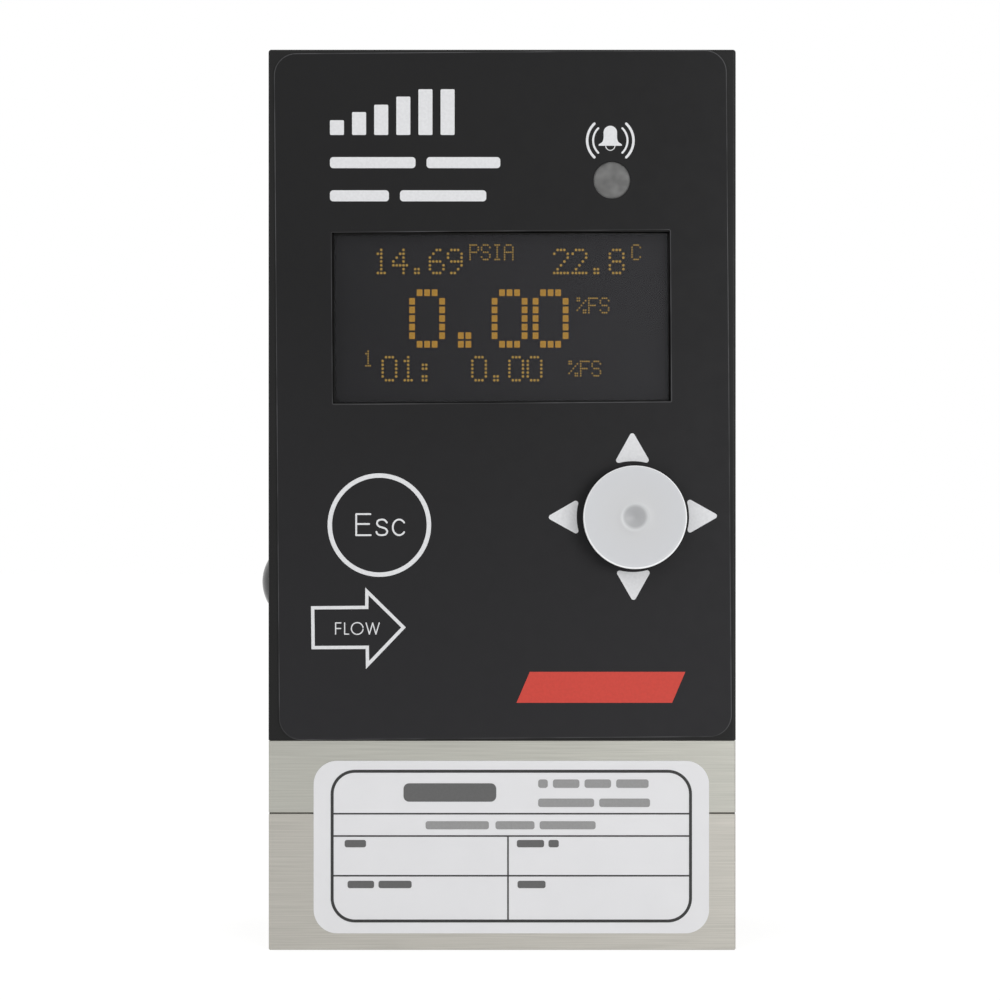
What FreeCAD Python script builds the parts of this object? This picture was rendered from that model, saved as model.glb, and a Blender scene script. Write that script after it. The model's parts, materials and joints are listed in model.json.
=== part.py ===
import FreeCAD, Part
import math
import os

# Digital flow meter: a black electronics housing with a display, a joystick and an
# escape key, standing on a two-piece steel flow body with a threaded port at each end.
# Frame: X across the front, Y from front to back, Z up, origin at the middle of the base.
# All sizes are in millimetres.

# Overall sizes
width = 63.5
depth = 28.6
flow_body_height = 18.6
manifold_height = 10.0
housing_height = 93.8

# Housing shell
wall = 2.0
front_wall = 2.0
edge_round = 0.4
lug_size = 6.0
cover_thickness = 1.6
gasket_thickness = 0.8
gasket_hole_play = 0.2
sensor_opening_gap = 0.8

# Steel blocks
block_setback = 0.5
block_edge = 0.15
port_radius = 4.3
port_depth = 11.0
port_chamfer = 0.6
bore_radius = 4.05
outlet_bore_radius = 3.5
mounting_hole_radius = 1.65
mounting_hole_depth = 8.0
mounting_spacing_x = 25.0
mounting_spacing_y = 18.0

# Flow parts
flow_fit = 0.02
laminar_from_end = 23.75
laminar_hole_radius = 0.35
laminar_ring_radii = (0.0, 1.45, 2.9)
laminar_ring_counts = (1, 6, 12)
tap_radius = 0.8
tap_from_laminar = 1.8
outer_tap_from_board_end = 4.5
screen_thickness = 0.5
screen_hole_radius = 0.45
ring_thickness = 1.0
ring_width = 0.8
seal_section = 0.9
seal_radius = 1.8
seal_chamfer = 0.22
seal_play = 0.15
nozzle_radius = 2.2
nozzle_play = 0.2
nozzle_depth = 1.7
sensor_stand = 0.3
sensor_height = 7.9
difference_sensor_margin = 3.2
difference_sensor_depth = 11.0
absolute_sensor_width = 7.0
absolute_sensor_depth = 9.0
probe_radius = 0.6
probe_head_radius = 2.6

# Screws
block_screw_radius = 1.5
block_screw_clearance = 0.2
block_screw_head_radius = 2.75
block_screw_head_height = 3.0
block_screw_socket_radius = 1.25
block_screw_inset_x = 5.75
block_screw_inset_y = 6.3
block_screw_socket_depth = 1.8
block_screw_grip = 1.4
block_screw_end_gap = 0.3
counterbore_play = 0.25
counterbore_extra = 0.4
cover_screw_radius = 1.25
cover_screw_head_radius = 2.4
cover_screw_head_height = 1.2
cover_screw_length = 8.0
thread_play = 0.02
screw_end_gap = 0.5
cover_screw_socket_flats = 2.0
cover_screw_socket_depth = 0.84
board_screw_radius = 1.0
board_screw_head_radius = 2.0
board_screw_head_height = 1.4
board_screw_socket_flats = 1.5
board_screw_socket_depth = 0.84

# Front openings, placed from the middle of the front and the foot of the housing
window_width = 45.9
window_height = 23.25
window_corner = 0.2
window_x = -0.1
window_up = 57.41
led_from_right = 16.85
led_up = 76.0
led_radius = 2.5
joystick_from_right = 13.9
joystick_up = 30.35
joystick_hole_radius = 4.2
escape_from_left = 15.1
escape_up = 29.2
escape_hole_radius = 6.0
opening_play = 0.1

# Front film and its print
film_thickness = 0.3
film_x = 0.1
film_side_margin = 1.05
film_top_margin = 0.4
film_bottom_margin = 0.25
film_corner = 3.0
ink = 0.03
arrow_base_radius = 7.62
arrow_tip_radius = 11.75
arrow_half_width = 2.6
arrow_corner = 0.35
escape_ring_radius = 7.1
print_line = 0.55
escape_ring_line = 0.68
flow_arrow_from_left = 5.75
flow_arrow_up = 15.3
flow_arrow_length = 12.9
flow_arrow_body_length = 7.5
flow_arrow_body_height = 5.9
flow_arrow_head_height = 11.1
bell_up = 81.7
bell_height = 3.1
bell_width = 3.2
bell_arc_radii = (2.5, 3.4)
bell_arc_lines = (0.3, 0.4)
bell_arc_angle = 42.0
bell_dome_share = 0.3
bell_flare_share = 0.3
title_from_left = 8.4
title_up = 88.3
title_bar_width = 1.9
title_bar_gap = 1.1
title_bar_heights = (2.0, 3.1, 4.1, 5.2, 6.2, 6.2)
title_line_height = 1.5
title_line_pitch = 4.5
title_word_gap = 1.5
title_word_round = 0.45
title_words = ((11.6, 10.0), (8.0, 11.7))
accent_from_right = 18.35
accent_up = 7.2
accent_width = 22.9
accent_height = 4.2
accent_lean = 1.8

# Rating label on the steel blocks
label_x = 1.25
label_up = 14.03
label_width = 53.75
label_height = 23.45
label_corner = 3.2
label_thickness = 0.15
label_frame_lift = 0.13
label_frame_width = 49.1
label_frame_height = 20.75
label_frame_corner = 3.3
label_frame_line = 0.4
label_rule = 0.21
label_rows_down = (5.97, 9.0, 14.4)
label_column_x = 24.1

# Window lens, display panel and its figures
lens_recess = 1.0
lens_flange = 2.0
lens_flange_thickness = 1.0
panel_gap = 0.2
panel_side_gap = 2.8
panel_thickness = 1.6
panel_frame_rim = 3.0
pixel_thickness = 0.04
small_pitch_x = 0.464
small_pitch_z = 0.527
small_dot = 0.42
large_pitch_x = 1.03
large_pitch_z = 1.178
large_dot_width = 0.87
large_dot_height = 0.99
top_row_down = 2.13
middle_row_down = 8.0
bottom_row_down = 16.84
top_row = (("1", 6.0), ("4", 8.13), (".", 11.13), ("6", 13.15), ("9", 15.63),
           ("2", 30.2), ("2", 32.73), (".", 35.74), ("8", 37.83))
middle_row = (("0", 10.7), (".", 17.39), ("0", 22.01), ("0", 27.64))
bottom_row = (("0", 6.66), ("1", 9.7), (":", 12.18), ("0", 18.96), (".", 21.98),
              ("0", 24.05), ("0", 26.57))
figures = {
    "0": (" ooo ", "o   o", "o   o", "o   o", "o   o", "o   o", " ooo "),
    "1": (" o ", "oo ", " o ", " o ", " o ", " o ", "ooo"),
    "2": (" ooo ", "o   o", "    o", "   o ", "  o  ", " o   ", "ooooo"),
    "4": ("   o ", "  oo ", " o o ", "o  o ", "ooooo", "   o ", "   o "),
    "6": ("  oo ", " o   ", "o    ", "oooo ", "o   o", "o   o", " ooo "),
    "8": (" ooo ", "o   o", "o   o", " ooo ", "o   o", "o   o", " ooo "),
    "9": (" ooo ", "o   o", "o   o", " oooo", "    o", "   o ", " oo  "),
    ".": ("  ", "  ", "  ", "  ", "  ", "oo", "oo"),
    ":": ("  ", "  ", "oo", "oo", "  ", "oo", "oo"),
}

# Circuit boards
board_thickness = 1.6
board_side_gap = 1.75
board_end_gap = 1.9
board_setback = 6.0
boss_radius = 2.4
board_hole_inset = 3.2
board_hole_play = 0.3
spacer_length = 8.7
spacer_flats = 4.5
stud_length = 3.6
sensor_board_thickness = 1.2
sensor_board_gap = 1.75
sensor_board_depth = 18.4
sensor_post_radius = 1.7
sensor_post_inset = 0.3
header_width = 12.0
header_depth = 3.0
header_height = 4.0
link_width = 20.0
link_height = 5.0
link_up = 22.0

# Alarm lamp
led_rim_radius = 2.9
led_rim = 1.0
led_recess = 0.15
led_length = 7.2
led_wire = 0.5
led_wire_spacing = 2.54
led_wire_play = 0.05
led_wire_end = 1.0
led_tip_round = 0.25

# Joystick
stick_case = 11.4
stick_cavity_radius = 4.6
stick_base = 0.8
stick_lid = 0.5
stick_lid_hole_radius = 2.9
pivot_from_board = 3.1
ring_outer_radius = 4.1
ring_inner_radius = 2.75
ring_height = 1.5
hub_radius = 2.3
hub_height = 2.2
pin_radius = 0.4
pin_play = 0.05
pin_end_gap = 0.15
pin_root = 0.3
slot_end_wall = 0.4
tongue_play = 0.1
stem_radius = 1.5
stem_play = 0.05
stem_tail = 0.4
knob_radius = 6.95
knob_thickness = 1.7
knob_gap = 1.7
knob_edge = 0.45
knob_dish = 0.18
knob_dimple_radius = 1.65
knob_dimple_depth = 0.35
knob_hub_radius = 2.5

# Escape key
escape_cap_radius = 5.7
escape_flange = 0.8
escape_flange_thickness = 1.0
escape_film_gap = 0.1
escape_post_radius = 1.6
switch_case = 6.0
switch_height = 3.5
switch_stem_radius = 1.2
switch_stem_play = 0.1
switch_stem_rise = 0.7
switch_stem_depth = 1.2
switch_stem_travel = 0.8

# Side plug
plug_radius = 4.75
plug_dome = 2.3
plug_up = 21.0
plug_stem_radius = 3.8
plug_stem_play = 0.1
plug_stem_length = 3.0
plug_wall = 0.8

# Rear connector
connector_up = 66.0
connector_flange_width = 30.8
connector_flange_height = 12.5
connector_flange_thickness = 0.8
connector_shell_width = 16.3
connector_shell_height = 8.0
connector_shell_wall = 0.4
connector_shell_slope = 10.0
connector_shell_length = 6.0
connector_shell_corner = 1.6
connector_cutout_play = 0.6
connector_back_width = 19.0
connector_back_height = 10.5
connector_pin_pitch = 2.76
connector_pin_row_gap = 2.84
connector_pin_hole_radius = 0.55
connector_pin_depth = 4.5
connector_core_recess = 0.2
jackscrew_spacing = 25.0
jackscrew_flats = 4.8
jackscrew_length = 5.0
jackscrew_thread_radius = 1.2
jackscrew_hole_depth = 4.0
jackscrew_stud_length = 4.0
jackscrew_stud_radius = 1.4

# Parts on the main board
chip_size = 12.0
chip_thickness = 1.4
capacitor_radius = 3.15
capacitor_length = 7.0
capacitor_pitch = 8.0
capacitor_drop = 2.0
relay_width = 15.0
relay_height = 7.4
relay_depth = 5.7
relay_gap = 2.0

# Places that follow from the sizes above
half = width / 2
front = -depth / 2
back = depth / 2
joint_z = flow_body_height
deck_z = joint_z + manifold_height
top_z = deck_z + housing_height
inner_x = half - wall
inner_front = front + front_wall
cover_front = back - cover_thickness
rim_y = cover_front - gasket_thickness
floor_z = deck_z + wall
ceiling_z = top_z - wall
film_front = front - film_thickness
block_front = front + block_setback
block_back = back - block_setback
board_width = 2 * (inner_x - board_side_gap)
led_x = half - led_from_right
joystick_x = half - joystick_from_right
escape_x = -half + escape_from_left
flow_arrow_x = -half + flow_arrow_from_left
title_x = -half + title_from_left
accent_x = half - accent_from_right
window_z = deck_z + window_up
led_z = deck_z + led_up
joystick_z = deck_z + joystick_up
escape_z = deck_z + escape_up
connector_z = deck_z + connector_up
connector_flange_y = cover_front - connector_flange_thickness
lens_front = film_front + lens_recess
lens_back = inner_front + lens_flange_thickness
panel_front = lens_back + panel_gap
panel_back = panel_front + panel_thickness
panel_width = 2 * (inner_x - panel_side_gap)
panel_height = window_height + 2 * lens_flange
board_front = inner_front + board_setback
board_back = board_front + board_thickness
main_front = board_back + spacer_length
main_back = main_front + board_thickness
board_low = floor_z + lug_size + board_end_gap
board_high = ceiling_z - lug_size - board_end_gap
board_hole_x = board_width / 2 - board_hole_inset
board_hole_zs = (board_low + board_hole_inset, board_high - board_hole_inset)
cover_screw_x = inner_x - lug_size / 2
cover_screw_zs = (floor_z + lug_size / 2, ceiling_z - lug_size / 2)
block_screw_x = half - block_screw_inset_x
block_screw_y = depth / 2 - block_screw_inset_y
counterbore_depth = block_screw_head_height + counterbore_extra
bore_z = flow_body_height / 2
laminar_length = width - 2 * laminar_from_end
sensor_board_width = 2 * (inner_x - lug_size - sensor_board_gap)
inner_tap_x = laminar_length / 2 + tap_from_laminar
outer_tap_x = sensor_board_width / 2 - outer_tap_from_board_end
tap_xs = (-outer_tap_x, -inner_tap_x, inner_tap_x, outer_tap_x)
pressure_tap_xs = tap_xs[:3]
probe_x = outer_tap_x
sensor_opening_width = sensor_board_width + 2 * sensor_opening_gap
sensor_opening_depth = sensor_board_depth + 2 * sensor_opening_gap
sensor_post_x = sensor_board_width / 2 - sensor_post_radius - sensor_post_inset
sensor_post_y = sensor_board_depth / 2 - sensor_post_radius - sensor_post_inset
nozzle_seat_radius = nozzle_radius + nozzle_play
nozzle_seat_depth = nozzle_depth + seal_section
sensor_foot = deck_z + sensor_stand
sensor_board_low = sensor_foot + sensor_height
sensor_board_high = sensor_board_low + sensor_board_thickness
pivot_y = board_front - pivot_from_board
knob_back = film_front - knob_gap
knob_front = knob_back - knob_thickness

FRONTWARD = FreeCAD.Vector(0, -1, 0)
BACKWARD = FreeCAD.Vector(0, 1, 0)
UP = FreeCAD.Vector(0, 0, 1)
RIGHT = FreeCAD.Vector(1, 0, 0)


def vec(x, y, z):
    return FreeCAD.Vector(x, y, z)


def box(x0, x1, y0, y1, z0, z1):
    """A box between two corners."""
    return Part.makeBox(x1 - x0, y1 - y0, z1 - z0, vec(x0, y0, z0))


def block_at(x, z, w, h, y0, y1):
    """A box centred at x, z, between two depths."""
    return box(x - w / 2, x + w / 2, y0, y1, z - h / 2, z + h / 2)


def rod_y(x, z, radius, y0, y1):
    """A round rod along Y."""
    return Part.makeCylinder(radius, y1 - y0, vec(x, y0, z), BACKWARD)


def rod_z(x, y, radius, z0, z1):
    """A round rod along Z."""
    return Part.makeCylinder(radius, z1 - z0, vec(x, y, z0), UP)


def rod_x(y, z, radius, x0, x1):
    """A round rod along X."""
    return Part.makeCylinder(radius, x1 - x0, vec(x0, y, z), RIGHT)


def front_face(corners, y):
    """A flat face at depth y from corner points given as x, z."""
    points = [vec(x, y, z) for x, z in corners]
    return Part.Face(Part.makePolygon(points + points[:1]))


def front_prism(corners, y0, y1):
    """An outline in the front plane, drawn out from y0 to y1."""
    return front_face(corners, y0).extrude(vec(0, y1 - y0, 0))


def round_upright(shape, radius):
    """Round the edges that run from front to back."""
    edges = [e for e in shape.Edges if runs_along(e, BACKWARD)]
    return shape.makeFillet(radius, edges)


def runs_along(edge, direction):
    """Whether a straight edge runs along a direction."""
    if edge.Curve.TypeId != "Part::GeomLine":
        return False
    return abs(abs(edge.tangentAt(edge.FirstParameter).dot(direction)) - 1) < 1e-6


def rounded_block(x, z, w, h, radius, y0, y1):
    """A box with round corners in the front view."""
    return round_upright(block_at(x, z, w, h, y0, y1), radius)


def hexagon_y(x, z, flats, y0, y1):
    """A hexagonal rod along Y."""
    radius = flats / math.sqrt(3)
    corners = [(x + radius * math.cos(math.radians(60 * i)),
                z + radius * math.sin(math.radians(60 * i))) for i in range(6)]
    return front_prism(corners, y0, y1)


def four_places(x, others):
    """The two places on each side of the middle."""
    return [(side * x, other) for side in (-1, 1) for other in others]


def compound(shapes):
    return Part.makeCompound(shapes)


# Housing and cover

def housing():
    """Open-backed box with four corner lugs, board bosses and its front openings."""
    shell = box(-half, half, front, rim_y, deck_z, top_z)
    shell = shell.makeFillet(edge_round, [e for e in shell.Edges if outside_edge(e)])
    shell = shell.cut(box(-inner_x, inner_x, inner_front, rim_y + 1, floor_z, ceiling_z))
    lugs = [box(min(x, x - sx * lug_size), max(x, x - sx * lug_size), inner_front, rim_y,
                min(z, z - sz * lug_size), max(z, z - sz * lug_size))
            for sx, x in ((-1, -inner_x), (1, inner_x))
            for sz, z in ((-1, floor_z), (1, ceiling_z))]
    bosses = [rod_y(x, z, boss_radius, inner_front, board_front)
              for x, z in four_places(board_hole_x, board_hole_zs)]
    shell = shell.fuse(lugs + bosses)
    holes = [rod_y(x, z, board_screw_radius + thread_play, board_front - stud_length - 1, board_front)
             for x, z in four_places(board_hole_x, board_hole_zs)]
    holes += [rod_y(x, z, cover_screw_radius + thread_play, rim_y - cover_screw_length, rim_y)
              for x, z in four_places(cover_screw_x, cover_screw_zs)]
    holes += [rod_z(x, y, block_screw_radius + thread_play, deck_z, floor_z + block_screw_grip)
              for x, y in four_places(block_screw_x, (-block_screw_y, block_screw_y))]
    holes.append(window_hole(front - 1, inner_front + 1))
    holes.append(rod_y(led_x, led_z, led_radius, front - 1, inner_front + 1))
    holes.append(rod_y(joystick_x, joystick_z, joystick_hole_radius, front - 1, inner_front + 1))
    holes.append(rod_y(escape_x, escape_z, escape_hole_radius, front - 1, inner_front + 1))
    holes.append(box(-sensor_opening_width / 2, sensor_opening_width / 2,
                     -sensor_opening_depth / 2, sensor_opening_depth / 2, deck_z - 1, floor_z + 1))
    holes.append(rod_x(0, deck_z + plug_up, plug_stem_radius + plug_stem_play, -half - 1, -inner_x + 1))
    return shell.cut(holes).removeSplitter()


def outside_edge(edge):
    """The upright and top edges that the moulding rounds, apart from the open rim."""
    middle = edge.CenterOfMass
    if middle.y > rim_y - 0.01 or middle.z < deck_z + 0.01:
        return False
    return True


def window_hole(y0, y1):
    return rounded_block(window_x, window_z, window_width, window_height, window_corner, y0, y1)


def rear_cover():
    """Flat back plate with countersunk corner holes and the connector cut-out."""
    plate = box(-half, half, cover_front, back, deck_z, top_z)
    plate = plate.makeFillet(edge_round, [e for e in plate.Edges if e.CenterOfMass.y > back - 0.01])
    holes = []
    for x, z in four_places(cover_screw_x, cover_screw_zs):
        holes.append(rod_y(x, z, cover_screw_radius + thread_play, cover_front, back))
        holes.append(screw_head(x, z, thread_play))
    holes.append(connector_outline(connector_cutout_play, cover_front - 1, back + 1))
    for side in (-1, 1):
        holes.append(rod_y(side * jackscrew_spacing / 2, connector_z,
                           jackscrew_stud_radius + thread_play, cover_front, back))
    return plate.cut(holes)


def screw_head(x, z, play):
    """Countersunk head that ends flush with the back of the cover."""
    return Part.makeCone(cover_screw_radius + play, cover_screw_head_radius + play,
                         cover_screw_head_height, vec(x, back - cover_screw_head_height, z), BACKWARD)


def cover_screws():
    screws = []
    for x, z in four_places(cover_screw_x, cover_screw_zs):
        shank = rod_y(x, z, cover_screw_radius, rim_y - cover_screw_length + screw_end_gap, back)
        head = screw_head(x, z, 0)
        socket = hexagon_y(x, z, cover_screw_socket_flats, back - cover_screw_socket_depth, back + 1)
        screws.append(shank.fuse(head).cut(socket))
    return compound(screws)


def rear_gasket():
    """Rubber frame between the housing rim and the cover."""
    outer = box(-half + edge_round, half - edge_round, rim_y, cover_front,
                deck_z + edge_round, top_z - edge_round)
    frame = outer.cut(box(-inner_x, inner_x, rim_y, cover_front, floor_z, ceiling_z))
    pads = [box(min(x, x - sx * lug_size), max(x, x - sx * lug_size), rim_y, cover_front,
                min(z, z - sz * lug_size), max(z, z - sz * lug_size))
            for sx, x in ((-1, -inner_x), (1, inner_x))
            for sz, z in ((-1, floor_z), (1, ceiling_z))]
    holes = [rod_y(x, z, cover_screw_radius + gasket_hole_play, rim_y, cover_front)
             for x, z in four_places(cover_screw_x, cover_screw_zs)]
    return frame.fuse(pads).cut(holes).removeSplitter()


def side_plug():
    """Snap-in plug: a shallow dome outside and a hollow stem through the left wall."""
    centre_z = deck_z + plug_up
    sphere_radius = (plug_radius ** 2 + plug_dome ** 2) / (2 * plug_dome)
    sphere = Part.makeSphere(sphere_radius, vec(-half - plug_dome + sphere_radius, 0, centre_z))
    dome = sphere.common(rod_x(0, centre_z, plug_radius + 1, -half - plug_dome - 1, -half))
    stem = rod_x(0, centre_z, plug_stem_radius, -half, -half + plug_stem_length)
    hollow = rod_x(0, centre_z, plug_stem_radius - plug_wall, -half, -half + plug_stem_length)
    return dome.fuse(stem.cut(hollow))


# Front film and its print

def film_size():
    """Centre height, width and height of the front film."""
    low = deck_z + film_bottom_margin
    high = top_z - film_top_margin
    return (low + high) / 2, width - 2 * film_side_margin, high - low


def front_overlay():
    """Printed film over the whole front, cut out for the window, lamp and joystick."""
    middle, w, h = film_size()
    film = rounded_block(film_x, middle, w, h, film_corner, film_front, front)
    holes = [window_hole(film_front - 1, front + 1),
             rod_y(led_x, led_z, led_radius, film_front - 1, front + 1),
             rod_y(joystick_x, joystick_z, joystick_hole_radius, film_front - 1, front + 1)]
    return film.cut(holes)


def direction_arrows():
    """Four arrowheads around the joystick, hollowed to its curve."""
    arrows = []
    base_rise = math.sqrt(arrow_base_radius ** 2 - arrow_half_width ** 2)
    corner_left = vec(-arrow_half_width, film_front - ink, base_rise)
    corner_right = vec(arrow_half_width, film_front - ink, base_rise)
    tip = vec(0, film_front - ink, arrow_tip_radius)
    curve = Part.Arc(corner_left, vec(0, film_front - ink, arrow_base_radius), corner_right)
    outline = Part.Wire([curve.toShape(), Part.makeLine(corner_right, tip), Part.makeLine(tip, corner_left)])
    arrow = round_upright(Part.Face(outline).extrude(vec(0, ink, 0)), arrow_corner)
    for turn in range(4):
        turned = arrow.copy()
        turned.rotate(vec(0, 0, 0), BACKWARD, 90 * turn)
        turned.translate(vec(joystick_x, 0, joystick_z))
        arrows.append(turned)
    return compound(arrows)


def outline_line(corners, line, y0, y1):
    """A closed line of even width drawn inside a polygon."""
    outer = front_prism(corners, y0, y1)
    wire = Part.makePolygon([vec(x, y0, z) for x, z in corners + corners[:1]])
    inner = Part.Face(wire.makeOffset2D(-line, 2, False, False, True)).extrude(vec(0, y1 - y0, 0))
    return outer.cut(inner)


def flow_arrow():
    """Outline of an arrow that points to the outlet."""
    middle = deck_z + flow_arrow_up
    body = flow_arrow_body_height / 2
    head = flow_arrow_head_height / 2
    neck = flow_arrow_x + flow_arrow_body_length
    tip = flow_arrow_x + flow_arrow_length
    corners = [(flow_arrow_x, middle - body), (neck, middle - body), (neck, middle - head),
               (tip, middle), (neck, middle + head), (neck, middle + body), (flow_arrow_x, middle + body)]
    return outline_line(corners, print_line, film_front - ink, film_front)


def escape_ring():
    """Printed ring that marks the escape key."""
    outer = rod_y(escape_x, escape_z, escape_ring_radius, film_front - ink, film_front)
    return outer.cut(rod_y(escape_x, escape_z, escape_ring_radius - escape_ring_line,
                           film_front - ink, film_front))


def ring_sector(x, z, radius, line, middle_angle):
    """Part of a thin ring around x, z."""
    outer = Part.makeCylinder(radius + line / 2, ink, vec(x, film_front, z), FRONTWARD)
    ring = outer.cut(Part.makeCylinder(radius - line / 2, ink, vec(x, film_front, z), FRONTWARD))
    reach = 2 * radius
    side = math.tan(math.radians(bell_arc_angle)) * reach
    wedge = front_prism([(x, z), (x + middle_angle * reach, z - side), (x + middle_angle * reach, z + side)],
                        film_front - ink, film_front)
    return ring.common(wedge)


def alarm_symbol():
    """A bell between pairs of sound arcs, over the alarm lamp."""
    z = deck_z + bell_up
    low = z - bell_height / 2
    dome_radius = bell_width * bell_dome_share
    crown = z + bell_height / 2 - dome_radius
    flare = low + bell_height * bell_flare_share
    body = front_prism([(led_x - bell_width / 2, low), (led_x + bell_width / 2, low),
                        (led_x + dome_radius, flare), (led_x + dome_radius, crown),
                        (led_x - dome_radius, crown), (led_x - dome_radius, flare)],
                       film_front - ink, film_front)
    body = body.fuse(rod_y(led_x, crown, dome_radius, film_front - ink, film_front)).removeSplitter()
    arcs = [ring_sector(led_x, z, radius, line, side)
            for radius, line in zip(bell_arc_radii, bell_arc_lines) for side in (-1, 1)]
    return [body] + arcs


def title_marks():
    """Plain marks in the title's place: a rising row of bars over two broken lines."""
    marks = []
    foot = deck_z + title_up - title_bar_heights[-1]
    for i, height in enumerate(title_bar_heights):
        x = title_x + i * (title_bar_width + title_bar_gap)
        marks.append(box(x, x + title_bar_width, film_front - ink, film_front, foot, foot + height))
    for row, words in enumerate(title_words):
        x = title_x
        z = foot - (row + 1) * title_line_pitch + title_line_height / 2
        for length in words:
            marks.append(rounded_block(x + length / 2, z, length, title_line_height,
                                       title_word_round, film_front - ink, film_front))
            x += length + title_word_gap
    return marks


def overlay_print():
    """All the white print on the film apart from the arrowheads."""
    return compound([flow_arrow(), escape_ring()] + alarm_symbol() + title_marks())


def accent_mark():
    """Plain red mark at the lower right of the film."""
    z = deck_z + accent_up
    w = accent_width / 2
    h = accent_height / 2
    corners = [(accent_x - w, z - h), (accent_x + w - accent_lean, z - h),
               (accent_x + w, z + h), (accent_x - w + accent_lean, z + h)]
    return front_prism(corners, film_front - ink, film_front)


# Rating label

def rating_label():
    return rounded_block(label_x, label_up, label_width, label_height, label_corner,
                         block_front - label_thickness, block_front)


def label_print():
    """Round-cornered frame and ruled lines, printed on the label."""
    y0 = block_front - label_thickness - ink
    y1 = block_front - label_thickness
    middle = label_up + label_frame_lift
    frame = rounded_block(label_x, middle, label_frame_width, label_frame_height,
                          label_frame_corner, y0, y1)
    inner_width = label_frame_width - 2 * label_frame_line
    inner_height = label_frame_height - 2 * label_frame_line
    frame = frame.cut(rounded_block(label_x, middle, inner_width, inner_height,
                                    label_frame_corner - label_frame_line, y0, y1))
    top = middle + label_frame_height / 2
    bottom = middle - inner_height / 2
    left = label_x - label_frame_width / 2
    rules = [block_at(label_x, top - down, inner_width + label_frame_line, label_rule, y0, y1)
             for down in label_rows_down]
    column = left + label_column_x
    rules.append(box(column - label_rule / 2, column + label_rule / 2, y0, y1,
                     bottom - label_frame_line / 2, top - label_rows_down[1]))
    return frame.fuse(rules).removeSplitter()


# Window, display and lamp

def display_lens():
    """Smoked window with a step that seats behind the front wall."""
    body = rounded_block(window_x, window_z, window_width - 2 * opening_play,
                         window_height - 2 * opening_play, window_corner, lens_front, inner_front)
    flange = block_at(window_x, window_z, window_width + 2 * lens_flange,
                      window_height + 2 * lens_flange, inner_front, lens_back)
    return body.fuse(flange).removeSplitter()


def display_panel():
    return block_at(0, window_z, panel_width, panel_height, panel_front, panel_back)


def display_frame():
    """Plastic frame that holds the panel off the display board."""
    outer = block_at(0, window_z, panel_width, panel_height, panel_back, board_front)
    return outer.cut(block_at(0, window_z, panel_width - 2 * panel_frame_rim,
                              panel_height - 2 * panel_frame_rim, panel_back, board_front))


def row_of_figures(row, down, pitch_x, pitch_z, dot_width, dot_height):
    """Lit dots of one row of figures, as thin blocks on the panel."""
    dots = []
    left = window_x - window_width / 2
    top = window_z + window_height / 2 - down
    for name, start in row:
        for line, pattern in enumerate(figures[name]):
            for column, mark in enumerate(pattern):
                if mark == "o":
                    dots.append(block_at(left + start + column * pitch_x, top - line * pitch_z,
                                         dot_width, dot_height, panel_front - pixel_thickness, panel_front))
    return dots


def display_figures():
    dots = row_of_figures(top_row, top_row_down, small_pitch_x, small_pitch_z, small_dot, small_dot)
    dots += row_of_figures(middle_row, middle_row_down, large_pitch_x, large_pitch_z,
                           large_dot_width, large_dot_height)
    dots += row_of_figures(bottom_row, bottom_row_down, small_pitch_x, small_pitch_z, small_dot, small_dot)
    return compound(dots)


def alarm_lamp():
    """Round lamp with a rim behind the front wall and two wires into the board."""
    tip = film_front + led_recess
    body = rod_y(led_x, led_z, led_radius - opening_play, tip, tip + led_length)
    body = body.makeFillet(led_tip_round, [e for e in body.Edges if e.CenterOfMass.y < tip + 0.01])
    rim = rod_y(led_x, led_z, led_rim_radius, tip + led_length - led_rim, tip + led_length)
    wires = [block_at(led_x + side * led_wire_spacing / 2, led_z, led_wire, led_wire,
                      tip + led_length, board_back + led_wire_end) for side in (-1, 1)]
    return body.fuse([rim] + wires).removeSplitter()


# Joystick

def pins(axis, start, end):
    """A pair of short pins on both sides of the pivot."""
    if axis == "x":
        return [rod_x(pivot_y, joystick_z, pin_radius, joystick_x + start, joystick_x + end),
                rod_x(pivot_y, joystick_z, pin_radius, joystick_x - end, joystick_x - start)]
    return [Part.makeCylinder(pin_radius, end - start, vec(joystick_x, pivot_y, joystick_z + start), UP),
            Part.makeCylinder(pin_radius, end - start, vec(joystick_x, pivot_y, joystick_z - end), UP)]


def joystick_case():
    """Square case on the display board, bored for the ring and its pins."""
    case_front = inner_front + stick_lid
    case = block_at(joystick_x, joystick_z, stick_case, stick_case, case_front, board_front)
    case = case.cut(rod_y(joystick_x, joystick_z, stick_cavity_radius, case_front, board_front - stick_base))
    slot = 2 * (pin_radius + pin_play)
    reach = stick_case / 2 - slot_end_wall
    slots = rod_x(pivot_y, joystick_z, slot / 2, joystick_x - reach, joystick_x + reach)
    slots = slots.fuse(box(joystick_x - reach, joystick_x + reach, case_front, pivot_y,
                           joystick_z - slot / 2, joystick_z + slot / 2))
    return case.cut(slots)


def joystick_lid():
    """Thin plate that closes the case and holds the ring's pins down."""
    plate = block_at(joystick_x, joystick_z, stick_case, stick_case, inner_front, inner_front + stick_lid)
    lid_back = inner_front + stick_lid
    plate = plate.cut(rod_y(joystick_x, joystick_z, stick_lid_hole_radius, inner_front, lid_back))
    slot = 2 * pin_radius
    reach = stick_case / 2 - slot_end_wall - tongue_play
    start = stick_cavity_radius + tongue_play
    tongues = [box(joystick_x + side * (start + reach) / 2 - (reach - start) / 2,
                   joystick_x + side * (start + reach) / 2 + (reach - start) / 2,
                   lid_back, pivot_y - pin_radius - pin_play,
                   joystick_z - slot / 2, joystick_z + slot / 2) for side in (-1, 1)]
    return plate.fuse(tongues).removeSplitter()


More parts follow.
